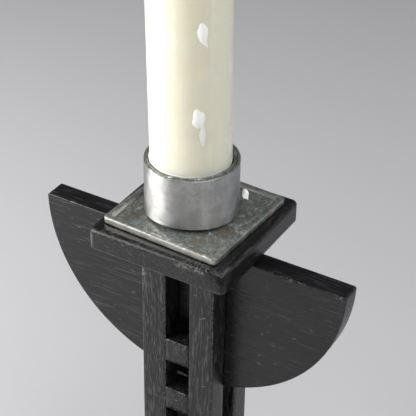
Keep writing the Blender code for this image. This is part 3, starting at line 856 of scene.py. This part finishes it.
loops = plate_loops()
inset_from_edge = PLATE_W / 2 - np.abs(loops[:, :, :2]).max(axis=2)
inner = np.clip((inset_from_edge - RIM_WIDTH) / 0.0012, 0, 1) * (loops[:, :, 2] > RIM_HEIGHT * 0.5)
reach = np.linalg.norm(loops[:, :, :2], axis=2)
open_floor = inner * np.clip((reach - CUP_FOOTPRINT_R) / 0.002, 0, 1)
dish = DISH_DEPTH * slow_waves(loops * np.array((1, 1, 0)), 0.017, 61) * open_floor
rim_wobble = RIM_WOBBLE * slow_waves(loops, 0.021, 62) * (loops[:, :, 2] > 0.001) * (1 - inner)
loops[:, :, 2] += dish + rim_wobble
spin = np.array(((math.cos(PLATE_TURN), -math.sin(PLATE_TURN), 0),
                 (math.sin(PLATE_TURN), math.cos(PLATE_TURN), 0), (0, 0, 1)))
loops = loops @ spin.T + np.array((0, 0, plate_low.z))
piece("drip_plate_pewter", loops, plate_pewter, "tray", "pewter", ("drip_plate",), joined=True,
      stain=np.clip(inner + BORDER_STAIN * (loops[:, :, 2] - plate_low.z > RIM_HEIGHT - 0.0008), 0, 1))

# %% [markdown]
# ## The cup
# The cup is a short length of pewter tube, seamed at the front and soldered to the plate. Its rim
# is rough where wax has been scraped off, and at the front its foot stands just clear of the
# plate. It is a turned profile: radius and height along the section, and an angle round the
# axis, with the rim's height and the foot's height changed by the angle.

# %% Cup
CUP_R = 0.0286
CUP_WALL = 0.0018
CUP_CENTRE = spin[:2, :2] @ np.array((-0.0024, -0.0004))
CUP_POINTS = 224
cup_low, cup_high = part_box("cup_wall")
cup_height = cup_high.z - cup_low.z
SEAM_ANGLE = math.radians(-52.0)      # both from +X, turning towards the front
LIFTED_ANGLE = math.radians(-66.0)
FOOT_LIFT = 0.0024
LIFT_SPREAD = 0.60                    # radians, one standard deviation of the lifted part
RAGGED_BAND = 0.0022                  # how far below the rim it is rough
RAGGED_BY = 0.00070
RIM_LOSS = 0.00060
INSIDE_STAIN = 0.9
SEAM_STAIN = 0.45
SEAM_WIDTH = 2.2                      # in points round the cup
angles = SEAM_ANGLE + np.linspace(0, 2 * np.pi, CUP_POINTS, endpoint=False)
ease = CUP_WALL / 2
FOOT_ROUND = 0.0006
OUTER_ROWS, INNER_ROWS = 30, 14
outer_heights = np.linspace(FOOT_ROUND, cup_height - ease, OUTER_ROWS)
rim_turn = np.radians(np.linspace(0, 180, 9))[1:-1]
inner_heights = np.linspace(cup_height - ease, FOOT_ROUND, INNER_ROWS)
profile = np.vstack([
    np.column_stack([np.full(OUTER_ROWS, CUP_R), outer_heights]),
    np.column_stack([CUP_R - ease + ease * np.cos(rim_turn),
                     cup_height - ease + ease * np.sin(rim_turn) * 0.8]),
    np.column_stack([np.full(INNER_ROWS, CUP_R - CUP_WALL), inner_heights]),
    np.array(((CUP_R - CUP_WALL, 0.0), (CUP_R - 0.0009, 0.0), (CUP_R - 0.0004, 0.0001)))])
radii = np.broadcast_to(profile[:, :1], (len(profile), CUP_POINTS)).copy()
heights = np.broadcast_to(profile[:, 1:], (len(profile), CUP_POINTS)).copy()
from_lift = np.mod(angles - LIFTED_ANGLE + np.pi, 2 * np.pi) - np.pi
lift = np.exp(-0.5 * (from_lift / LIFT_SPREAD) ** 2)
heights += FOOT_LIFT * lift * np.clip(1 - heights / 0.006, 0, 1)
rim_share = np.clip((heights - (cup_height - RAGGED_BAND)) / RAGGED_BAND, 0, 1) ** 2
around_rim = circle(angles) * CUP_R
ragged = 0.6 * slow_waves(around_rim, 0.006, 71) + 0.4 * slow_waves(around_rim, 0.0026, 72)
heights += rim_share * (RAGGED_BY * ragged - RIM_LOSS)
radii += 0.00009 * slow_waves(np.stack([angles * CUP_R + 0 * heights, heights,
                                        0 * heights], axis=2), 0.023, 73)
radii = np.minimum(radii, CUP_R)
cup_loops = wrapped(radii, heights, angles) + np.array((*CUP_CENTRE, cup_low.z))
rim_stain = np.clip(rim_share * 1.6, 0, 1) + INSIDE_STAIN * (profile[:, :1] < CUP_R - 0.0012)
from_seam = np.minimum(np.arange(CUP_POINTS), CUP_POINTS - np.arange(CUP_POINTS))
seam_mark = SEAM_STAIN * np.exp(-0.5 * (from_seam / SEAM_WIDTH) ** 2)[None, :] * np.ones((len(profile), 1))
piece("cup_wall_pewter", cup_loops, cup_pewter, "tray", "pewter", ("cup_wall",), joined=True,
      stain=np.clip(rim_stain + seam_mark, 0, 1))

# %% [markdown]
# ## The finish: candle wax
# Wax lets light in and scatters it, so a candle glows at its edges and never looks like paint.
# The Principled shader's subsurface does that: light travels a few millimetres, red furthest.
# The pillar is slightly glossy from its mould, with faint upright streaks; the drips are whiter
# and duller, from the same function. With scattering alone the thin drips came out too dark and
# too blue, so they also have a weak emission, which real wax does not.

# %% Wax
def wax(name, tint, dark_tint, scatter, roughness_low, roughness_high, streak_length, glow=0.0):
    """Translucent wax with faint upright streaks; glow is the strength of its emission."""
    made, nodes, links = empty_material(name)

    place = nodes.new("ShaderNodeTexCoord")
    place.label = "where in the wax"
    drawn = nodes.new("ShaderNodeMapping")
    drawn.label = "draw out upwards"
    drawn.vector_type = "TEXTURE"
    drawn.inputs["Scale"].default_value = (1.0, 1.0, streak_length)
    streaks = nodes.new("ShaderNodeTexNoise")
    streaks.label = "upright streaks"
    set_inputs(streaks, {"Scale": 210.0, "Detail": 4.0})
    clouds = nodes.new("ShaderNodeTexNoise")
    clouds.label = "cloudy patches"
    set_inputs(clouds, {"Scale": 45.0, "Detail": 3.0})
    blend = nodes.new("ShaderNodeMix")
    blend.label = "clouds and streaks"
    blend.inputs["Factor"].default_value = 0.45
    contrast = nodes.new("ShaderNodeMapRange")
    contrast.label = "gentle contrast"
    set_inputs(contrast, {"From Min": 0.35, "From Max": 0.65})
    colour = nodes.new("ShaderNodeMix")
    colour.label = "clearer to milkier wax"
    colour.data_type = "RGBA"
    set_inputs(colour, {"A": (*dark_tint, 1.0), "B": (*tint, 1.0)})
    roughness = nodes.new("ShaderNodeMapRange")
    roughness.label = "fingered and clean places"
    set_inputs(roughness, {"From Min": 0.35, "From Max": 0.65, "To Min": roughness_low,
                           "To Max": roughness_high})
    relief = nodes.new("ShaderNodeBump")
    relief.label = "mould marks"
    set_inputs(relief, {"Strength": 0.18, "Distance": 0.00030})
    shader = nodes.new("ShaderNodeBsdfPrincipled")
    shader.label = "wax"
    set_inputs(shader, {"Subsurface Weight": scatter, "Subsurface Radius": (1.0, 0.85, 0.55),
                        "Subsurface Scale": 0.014, "IOR": 1.44,
                        "Emission Color": (1.0, 0.99, 0.95, 1.0), "Emission Strength": glow})
    output = nodes.new("ShaderNodeOutputMaterial")

    links.new(place.outputs["Object"], drawn.inputs["Vector"])
    links.new(drawn.outputs["Vector"], streaks.inputs["Vector"])
    links.new(place.outputs["Object"], clouds.inputs["Vector"])
    links.new(clouds.outputs["Fac"], blend.inputs["A"])
    links.new(streaks.outputs["Fac"], blend.inputs["B"])
    links.new(blend.outputs["Result"], contrast.inputs["Value"])
    links.new(contrast.outputs["Result"], colour.inputs["Factor"])
    links.new(colour.outputs["Result"], shader.inputs["Base Color"])
    links.new(blend.outputs["Result"], roughness.inputs["Value"])
    links.new(roughness.outputs["Result"], shader.inputs["Roughness"])
    links.new(blend.outputs["Result"], relief.inputs["Height"])
    links.new(relief.outputs["Normal"], shader.inputs["Normal"])
    links.new(shader.outputs["BSDF"], output.inputs["Surface"])

    groups = (("streaks", (place, drawn, streaks, clouds, blend, contrast, colour)),
              ("surface", (roughness, relief, shader, output)))
    lay_out(nodes, groups)
    return made


candle_wax = wax("wax_ivory", (0.93, 0.91, 0.76), (0.89, 0.87, 0.70), 0.85, 0.20, 0.30, 30.0)
drip_wax = wax("wax_drips", (0.95, 0.95, 0.92), (0.90, 0.90, 0.86), 0.15, 0.40, 0.55, 2.0,
               glow=0.22)
# The thin run's wax also has a weak emission, a painted light.
film_wax = wax("wax_film", (0.94, 0.93, 0.84), (0.90, 0.89, 0.78), 0.15, 0.30, 0.45, 2.0, glow=0.17)

# %% [markdown]
# ## The candle
# The pillar leans a degree to the left in its cup. It is turned like the cup, from a profile with
# a recess in the foot and a melted dish in the top, and then leaned. Slow waves keep its side
# from being a perfect cylinder.

# %% Candle
CANDLE_R = 0.0245
CANDLE_H = 0.2000
CANDLE_LEAN = math.radians(1.0)
LEAN_TOWARDS = math.radians(210.0)
CANDLE_POINTS = 144
SIDE_ROWS = 110
FOOT_EDGE_R = 0.0012
TOP_EDGE_R = 0.0016
POOL_R = 0.0212               # the melted dish round the wick
POOL_DEPTH = 0.0035
candle_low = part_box("candle")[0]
candle_foot = np.array((-0.0024, -0.0004, candle_low.z + CANDLE_R * math.sin(CANDLE_LEAN)))
lean_axis = Vector((-math.sin(LEAN_TOWARDS), math.cos(LEAN_TOWARDS), 0))
lean = np.array(Matrix.Rotation(CANDLE_LEAN, 3, lean_axis))


def stand_candle(loops):
    """Lean upright loops with the candle and set them on its foot."""
    return loops @ lean.T + candle_foot


edge = np.radians(np.linspace(0, 90, 6))
foot_round = np.column_stack([CANDLE_R - FOOT_EDGE_R + FOOT_EDGE_R * np.sin(edge),
                              FOOT_EDGE_R - FOOT_EDGE_R * np.cos(edge)])
top_round = np.column_stack([CANDLE_R - TOP_EDGE_R + TOP_EDGE_R * np.cos(edge),
                             CANDLE_H - TOP_EDGE_R + TOP_EDGE_R * np.sin(edge)])
dish_r = np.linspace(0.0205, 0.0016, 12)
dish_z = CANDLE_H - POOL_DEPTH * np.sqrt(np.clip(1 - (dish_r / POOL_R) ** 2, 0, 1))
side_z = np.linspace(0.0030, CANDLE_H - 0.0035, SIDE_ROWS)
candle_profile = np.vstack([
    ((0.0020, 0.0080), (0.0074, 0.0080), (0.0075, 0.0078), (0.0075, 0.0006), (0.0081, 0.0)),
    foot_round, np.column_stack([np.full(SIDE_ROWS, CANDLE_R), side_z]), top_round,
    np.column_stack([dish_r, dish_z])])
candle_turn = np.linspace(0, 2 * np.pi, CANDLE_POINTS, endpoint=False)
pillar = wrapped(candle_profile[:, :1], candle_profile[:, 1:], candle_turn)
spread = np.clip(np.linalg.norm(pillar[:, :, :2], axis=2, keepdims=True) / CANDLE_R, 0, 1)
hollow = 0.5 + 0.5 * slow_waves(pillar * np.array((1, 1, 0.35)), 0.030, 81)
inward = pillar * np.array((-1, -1, 0)) / CANDLE_R
pillar = pillar + inward * (0.00018 * hollow)[:, :, None] * spread ** 4
piece("candle_pillar", stand_candle(pillar), candle_wax, "candle", "wax", ("candle",))

# %% [markdown]
# ## Drips and spilled wax
# Wax that ran down the pillar has set in two white tears and a thin run, a bead of it lies round
# the candle at the cup's mouth beside scrapings of grit, and one flake is left on the plate.
# Metaballs would make such blobs, but here each is a small dome: a grid of loops whose height
# above its base falls off as 1 - s squared, with a ragged edge, wrapped on the pillar or laid on
# the plate.

# %% Drips on the pillar
def ragged_disc(around, rings, seed, fine=0.0):
    """A unit disc with a ragged edge, rim first: its two directions and the share of each ring."""
    turn = np.linspace(0, 2 * np.pi, around, endpoint=False)
    ragged = 1 + 0.30 * slow_waves(circle(turn), 1.1, seed)
    ragged += fine * slow_waves(circle(turn), 0.5, seed + 1)
    share = np.linspace(1, 1 / rings, rings)[:, None]
    return np.cos(turn) * ragged * share, np.sin(turn) * ragged * share, share


def tear(name, angle, height, size, seed, narrow, hook, finish):
    """A tear wrapped on the pillar: broad at its head, its foot narrow and hooked sideways.

    Its angle is in degrees, its size is (width, length, depth).
    """
    width, length, depth = size
    u, v, share = ragged_disc(40, 9, seed)
    u = u * (1 - narrow * (0.5 - 0.5 * v))
    dome = depth * np.clip(1 - share ** 2, 0, 1)
    radius = CANDLE_R - 0.0004 + np.where(share > 0.99, 0.0, 0.0003) + dome
    swing = math.radians(angle) + (u * width / 2 + hook * np.clip(-v, 0, 1) ** 2) / CANDLE_R
    top = wrapped(radius, height + v * length / 2, swing)
    base = top[:1] * np.array((0.975, 0.975, 1.0))
    return piece(name, stand_candle(np.concatenate([base, top])), finish, "candle", "wax")


tear("wax_tear_upper", -42.0, 0.1225, (0.0085, 0.0150, 0.0011), 91, 0.60, 0.0030, drip_wax)
tear("wax_tear_lower", -48.0, 0.0712, (0.0080, 0.0125, 0.0009), 92, 0.05, 0.0, drip_wax)
tear("wax_run_lower", -43.0, 0.0600, (0.0042, 0.0150, 0.0002), 93, 0.50, 0.0006, film_wax)


# %% Wax and grit round the candle's foot
RING_POINTS, RING_SECTION = 200, 18


def ring_piece(name, centre, inner_r, outer_r, top, depth, seed, finish, body, slot, bumps,
               arc_spread=None, arc_at=0.0, **marks):
    """A ring with a lumpy top between two radii; its section is a flat oval.

    With an arc_spread it swells at the angle arc_at and is a thin line elsewhere.
    """
    turn = np.linspace(0, 2 * np.pi, RING_POINTS, endpoint=False)
    walk = np.linspace(0, 2 * np.pi, RING_SECTION, endpoint=False)[:, None]
    middle_r, half_w = (inner_r + outer_r) / 2, (outer_r - inner_r) / 2
    size = np.ones(RING_POINTS)
    if arc_spread:
        apart = np.mod(turn - arc_at + np.pi, 2 * np.pi) - np.pi
        size = 0.12 + 0.88 * np.exp(-0.5 * (apart / arc_spread) ** 2)
    lumps = slow_waves(circle(turn) * middle_r, 0.005, seed)
    radius = middle_r + half_w * np.cos(walk) * size
    fine = slow_waves(wrapped(radius, 0.0, turn), 0.0021, seed + 1)
    height = top + depth * (np.sin(walk) - 1) / 2 * size
    height = height + np.where(np.sin(walk) > 0, 1.0, 0.0) * (bumps * (lumps + 0.6 * fine))
    loops = wrapped(radius, height, turn) + np.array((*centre, 0.0))
    return piece(name, loops, finish, body, slot, joined=True, **marks)


grit_pewter = pewter("pewter_scraped", (0.36, 0.34, 0.30), 0.3, 0.9, 0.35, 0.60, 3)
# Near-black pewter for the cup's floor: a painted shade, so the gap under the cup's lifted foot shows
# black.
shade_black_pewter = pewter("pewter_painted_shade", (0.08, 0.08, 0.075), 0.1, 0.3, 0.55, 0.70, 4)
LEAN_SHIFT = 0.00027          # how far the leaning candle is off the cup's axis at its mouth
grit_centre = CUP_CENTRE + LEAN_SHIFT * np.array((math.cos(LEAN_TOWARDS), math.sin(LEAN_TOWARDS)))
ring_piece("cup_scrapings", grit_centre, 0.02502, 0.02690, cup_high.z + 0.0001, 0.0030, 101,
           grit_pewter, "tray", "pewter", 0.0005, stain=np.ones((RING_SECTION, RING_POINTS)))
bead_centre = candle_foot[:2] + (lean @ np.array((0, 0, cup_high.z - candle_low.z)))[:2]
ring_piece("candle_bead", bead_centre, 0.02420, 0.02500, cup_high.z + 0.0004, 0.0016, 103,
           drip_wax, "candle", "wax", 0.00015, arc_spread=0.75, arc_at=math.radians(205))

# %% A flake on the plate
floor_z = plate_low.z + FLOOR_HEIGHT


def flake(name, x, y, size, heading, seed):
    """A ragged flake of wax on the plate's floor; its size is (width, length, height)."""
    width, length, height = size
    u, v, share = ragged_disc(36, 8, seed, fine=0.12)
    u, v = u * width / 2, v * length / 2
    lumps = 0.65 + 0.55 * slow_waves(np.stack([u, v, 0 * u], axis=2), 0.0026, seed + 2)
    dome = height * np.clip(1 - share ** 2.5, 0, 1) * lumps
    c, s = math.cos(heading), math.sin(heading)
    top = np.stack([x + u * c - v * s, y + u * s + v * c, floor_z + 0.00005 + dome], axis=2)
    base = top[:1] - np.array((0, 0, 0.00035))
    return piece(name, np.concatenate([base, top]), drip_wax, "tray", "wax")


flake("wax_flake_right", 0.0182, 0.0292, (0.0040, 0.0118, 0.0026), math.radians(32), 111)

# %% [markdown]
# ## The wick
# A braided cotton wick is burnt black at its tip and stiff with wax below. It is a thin turned
# rod with three strands that wind round it: its radius swells as cos(3(angle - twist)).

# %% Wick
wick_low, wick_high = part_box("wick")
WICK_R = 0.0011
STRANDS = 3
STRAND_TURN = 18.0            # radians that a strand winds from foot to tip
TIP_SHARE = 0.05
wick_rows = np.linspace(0, 1, 46)[:, None]
wick_turn = np.linspace(0, 2 * np.pi, 24, endpoint=False)
wick_span = (wick_high.z - wick_low.z) / math.cos(CANDLE_LEAN) - 0.0002
braid = 1 + 0.11 * np.cos(STRANDS * (wick_turn - STRAND_TURN * wick_rows))
tip = np.clip((1 - wick_rows) / TIP_SHARE, 0, 1) ** 0.5
wick_radius = WICK_R * 0.88 * braid * np.maximum(tip, 0.15)
wick_loops = wrapped(wick_radius, wick_rows * wick_span, wick_turn)
wick_base = Vector((0, 0, (wick_low.z - candle_foot[2]) / math.cos(CANDLE_LEAN) + 0.0001))
wick_loops = stand_candle(wick_loops + np.array(wick_base))


def cotton(name):
    """Waxy cotton that turns to char towards the top."""
    made, nodes, links = empty_material(name)
    place = nodes.new("ShaderNodeTexCoord")
    place.label = "where on the wick"
    fibres = nodes.new("ShaderNodeTexNoise")
    fibres.label = "loose fibres"
    set_inputs(fibres, {"Scale": 2600.0, "Detail": 3.0})
    burnt = nodes.new("ShaderNodeAttribute")
    burnt.label = "how burnt"
    burnt.attribute_name = "burnt"
    edge_noise = nodes.new("ShaderNodeMath")
    edge_noise.label = "ragged line of char"
    edge_noise.operation = "MULTIPLY_ADD"
    edge_noise.use_clamp = True
    edge_noise.inputs[1].default_value = 0.35
    tints = nodes.new("ShaderNodeMix")
    tints.label = "waxy cotton to char"
    tints.data_type = "RGBA"
    set_inputs(tints, {"A": (0.55, 0.50, 0.36, 1.0), "B": (0.012, 0.010, 0.009, 1.0)})
    relief = nodes.new("ShaderNodeBump")
    relief.label = "fibres"
    set_inputs(relief, {"Strength": 0.5, "Distance": 0.0002})
    shader = nodes.new("ShaderNodeBsdfPrincipled")
    shader.label = "cotton"
    shader.inputs["Roughness"].default_value = 0.85
    output = nodes.new("ShaderNodeOutputMaterial")
    links.new(place.outputs["Object"], fibres.inputs["Vector"])
    links.new(fibres.outputs["Fac"], edge_noise.inputs[0])
    links.new(burnt.outputs["Fac"], edge_noise.inputs[2])
    links.new(edge_noise.outputs["Value"], tints.inputs["Factor"])
    links.new(tints.outputs["Result"], shader.inputs["Base Color"])
    links.new(fibres.outputs["Fac"], relief.inputs["Height"])
    links.new(relief.outputs["Normal"], shader.inputs["Normal"])
    links.new(shader.outputs["BSDF"], output.inputs["Surface"])
    lay_out(nodes, (("char", (place, fibres, burnt, edge_noise, tints)),
                    ("surface", (relief, shader, output))))
    return made


char = np.clip((wick_rows - 0.40) / 0.25, 0, 1) * 0.9 + 0 * wick_turn
piece("wick_braid", wick_loops, cotton("cotton_wick"), "candle", "wick_cotton", ("wick",),
      burnt=char)

# %% [markdown]
# ## The felt
# Thin wool felt is glued under the base. It is a sheet with no weave, so its finish is a tangle
# of short fibres in the bump and a mottled colour.

# %% Felt
def wool_felt(name):
    """Matted wool: two noises for the mottling and one bent one for the fibres."""
    made, nodes, links = empty_material(name)
    place = nodes.new("ShaderNodeTexCoord")
    place.label = "where on the felt"
    fibres = nodes.new("ShaderNodeTexNoise")
    fibres.label = "matted fibres"
    set_inputs(fibres, {"Scale": 1300.0, "Detail": 5.0, "Distortion": 3.0})
    mottle = nodes.new("ShaderNodeTexNoise")
    mottle.label = "mottling"
    set_inputs(mottle, {"Scale": 130.0, "Detail": 4.0})
    blend = nodes.new("ShaderNodeMix")
    blend.label = "fibres and mottling"
    blend.inputs["Factor"].default_value = 0.5
    tints = nodes.new("ShaderNodeMix")
    tints.label = "dark to light green"
    tints.data_type = "RGBA"
    set_inputs(tints, {"A": (0.012, 0.022, 0.017, 1.0), "B": (0.055, 0.085, 0.068, 1.0)})
    relief = nodes.new("ShaderNodeBump")
    relief.label = "fuzz"
    set_inputs(relief, {"Strength": 0.7, "Distance": 0.0004})
    shader = nodes.new("ShaderNodeBsdfPrincipled")
    shader.label = "wool"
    set_inputs(shader, {"Roughness": 0.95, "Sheen Weight": 0.35})
    output = nodes.new("ShaderNodeOutputMaterial")
    links.new(place.outputs["Object"], fibres.inputs["Vector"])
    links.new(place.outputs["Object"], mottle.inputs["Vector"])
    links.new(fibres.outputs["Fac"], blend.inputs["A"])
    links.new(mottle.outputs["Fac"], blend.inputs["B"])
    links.new(blend.outputs["Result"], tints.inputs["Factor"])
    links.new(tints.outputs["Result"], shader.inputs["Base Color"])
    links.new(fibres.outputs["Fac"], relief.inputs["Height"])
    links.new(relief.outputs["Normal"], shader.inputs["Normal"])
    links.new(shader.outputs["BSDF"], output.inputs["Surface"])
    lay_out(nodes, (("mottling", (place, fibres, mottle, blend, tints)),
                    ("surface", (relief, shader, output))))
    return made


felt_low, felt_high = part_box("felt_pad")
FELT_CORNER = 0.006
felt_outline = box_outline((felt_low.x, felt_low.y), (felt_high.x, felt_high.y), FELT_CORNER,
                           0.004, 6)
felt_loops = slab(felt_outline, felt_low.z, felt_high.z, (0.0004, 0.0004), (0.0004, 0.0004),
                      0.0003, face_rings=16)
felt = piece("felt_sheet", felt_loops, wool_felt("felt_wool"), "column", "felt", ("felt_pad",))

# %% [markdown]
# ## Parts that keep their CAD shape
# Screws, dowels and the cup's floor are out of sight, and their shapes are already right, so
# they only get finishes: turned steel for the screws, pale oak for the dowels, and a near-black
# pewter for the cup's floor, a painted shade that makes the gap under the cup's lifted foot black.

# %% Steel, and finishes for the hidden parts
def steel(name):
    """Machined steel: fine rings in the roughness and a slight grey mottling."""
    made, nodes, links = empty_material(name)
    place = nodes.new("ShaderNodeTexCoord")
    place.label = "where on the screw"
    squeeze = nodes.new("ShaderNodeMapping")
    squeeze.label = "rings round the shank"
    squeeze.inputs["Scale"].default_value = (0.05, 0.05, 1.0)
    rings = nodes.new("ShaderNodeTexNoise")
    rings.label = "lathe rings"
    set_inputs(rings, {"Scale": 3000.0, "Detail": 2.0})
    mottle = nodes.new("ShaderNodeTexNoise")
    mottle.label = "oil and tarnish"
    set_inputs(mottle, {"Scale": 300.0, "Detail": 4.0})
    tints = nodes.new("ShaderNodeMix")
    tints.label = "grey to bright steel"
    tints.data_type = "RGBA"
    set_inputs(tints, {"A": (0.30, 0.29, 0.27, 1.0), "B": (0.58, 0.57, 0.55, 1.0)})
    roughness = nodes.new("ShaderNodeMapRange")
    roughness.label = "rings catch light"
    set_inputs(roughness, {"To Min": 0.25, "To Max": 0.50})
    relief = nodes.new("ShaderNodeBump")
    relief.label = "tool marks"
    set_inputs(relief, {"Strength": 0.3, "Distance": 0.0001})
    shader = nodes.new("ShaderNodeBsdfPrincipled")
    shader.label = "steel"
    shader.inputs["Metallic"].default_value = 1.0
    output = nodes.new("ShaderNodeOutputMaterial")
    links.new(place.outputs["Object"], squeeze.inputs["Vector"])
    links.new(squeeze.outputs["Vector"], rings.inputs["Vector"])
    links.new(place.outputs["Object"], mottle.inputs["Vector"])
    links.new(mottle.outputs["Fac"], tints.inputs["Factor"])
    links.new(tints.outputs["Result"], shader.inputs["Base Color"])
    links.new(rings.outputs["Fac"], roughness.inputs["Value"])
    links.new(roughness.outputs["Result"], shader.inputs["Roughness"])
    links.new(rings.outputs["Fac"], relief.inputs["Height"])
    links.new(relief.outputs["Normal"], shader.inputs["Normal"])
    links.new(shader.outputs["BSDF"], output.inputs["Surface"])
    lay_out(nodes, (("tarnish", (place, mottle, tints)),
                    ("lathe rings", (squeeze, rings, roughness, relief)), ("surface", (shader, output))))
    return made


screw_steel = steel("steel_screws")
dowel_oak = oak("oak_dowels", ALONG_Y, 14.0, 7, (0.20, 0.13, 0.07), (0.34, 0.24, 0.14), gloss=0.6)
hidden_finishes = {"screw": screw_steel, "dowel": dowel_oak, "cup_floor": shade_black_pewter}
for node_name, node_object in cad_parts.items():
    for key, finish in hidden_finishes.items():
        if key in node_name and not node_object.hide_render:
            for holder in node_object.material_slots:
                holder.material = finish

# %% [markdown]
# ## Floor and light
# A pale floor fills the background. The key softbox stands low at the left front, and gives the
# cup its bright band, the candle its white side and the black wood a soft sheen. A weak cool one
# at the right picks out the right-hand faces, a high one at the front right lifts the candle's
# shaded side, and a large one overhead lights the floor, which the dark wood then mirrors.

# %% Floor
def pale_floor(name):
    """Matt pale paper with very faint clouds."""
    made, nodes, links = empty_material(name)
    place = nodes.new("ShaderNodeTexCoord")
    place.label = "where on the floor"
    clouds = nodes.new("ShaderNodeTexNoise")
    clouds.label = "faint clouds"
    set_inputs(clouds, {"Scale": 1.3, "Detail": 2.0})
    tints = nodes.new("ShaderNodeMix")
    tints.label = "two pale greys"
    tints.data_type = "RGBA"
    set_inputs(tints, {"A": (0.53, 0.52, 0.54, 1.0), "B": (0.58, 0.575, 0.59, 1.0)})
    shader = nodes.new("ShaderNodeBsdfPrincipled")
    shader.label = "paper"
    set_inputs(shader, {"Roughness": 0.95, "Specular IOR Level": 0.1})
    output = nodes.new("ShaderNodeOutputMaterial")
    links.new(place.outputs["Object"], clouds.inputs["Vector"])
    links.new(clouds.outputs["Fac"], tints.inputs["Factor"])
    links.new(tints.outputs["Result"], shader.inputs["Base Color"])
    links.new(shader.outputs["BSDF"], output.inputs["Surface"])
    lay_out(nodes, (("clouds", (place, clouds, tints)), ("surface", (shader, output))))
    return made


FLOOR_HALF = 9.0
FLOOR_ROWS = 13
floor_mesh = bpy.data.meshes.new("studio_floor")
floor_steps = np.linspace(-FLOOR_HALF, FLOOR_HALF, FLOOR_ROWS)
floor_x, floor_y = np.meshgrid(floor_steps, floor_steps)
floor_points = np.stack([floor_x, floor_y, 0 * floor_x], axis=2).reshape(-1, 3)
tile = np.arange(FLOOR_ROWS ** 2).reshape(FLOOR_ROWS, FLOOR_ROWS)
tiles = np.stack([tile[:-1, :-1], tile[:-1, 1:], tile[1:, 1:], tile[1:, :-1]], axis=2)
floor_mesh.from_pydata(floor_points.tolist(), [], tiles.reshape(-1, 4).tolist())
floor_mesh.materials.append(pale_floor("floor_paper"))
studio_floor = bpy.data.objects.new("studio_floor", floor_mesh)
bpy.context.scene.collection.objects.link(studio_floor)


# %% Lights
def softbox(name, direction, elevation, distance, width, height, power, tint):
    """A rectangular light on a sphere round the cup, facing it. Direction is from -Y towards +X."""
    data = bpy.data.lights.new(name, "AREA")
    data.shape = "RECTANGLE"
    data.size = width
    data.size_y = height
    data.energy = power
    data.color = tint
    print(f"{name}: {power} W, {distance} m away")
    light = bpy.data.objects.new(name, data)
    bpy.context.scene.collection.objects.link(light)
    a, e = math.radians(direction), math.radians(elevation)
    away = Vector((math.sin(a) * math.cos(e), -math.cos(a) * math.cos(e), math.sin(e)))
    light.matrix_world = (Matrix.Translation(Vector((0, 0, cup_low.z)) + away * distance)
                          @ away.to_track_quat("Z", "Y").to_matrix().to_4x4())
    return light


softbox("key_softbox", -56.0, 20.0, 1.15, 0.88, 0.80, 22.8, (1.0, 0.99, 0.965))
softbox("cool_fill", 118.0, 14.0, 1.70, 1.20, 0.80, 3.0, (0.88, 0.93, 1.0))
softbox("front_fill", 52.0, 50.0, 2.00, 1.50, 1.50, 13.5, (1.0, 0.99, 0.97))
softbox("top_light", 100.0, 64.0, 2.40, 1.80, 1.80, 20.0, (0.97, 0.98, 1.0))

world = bpy.data.worlds.new("studio")
world.use_nodes = True
set_inputs(world.node_tree.nodes["Background"], {"Color": (0.86, 0.89, 0.95, 1.0), "Strength": 0.12})
bpy.context.scene.world = world
bpy.context.scene.view_settings.view_transform = "Standard"
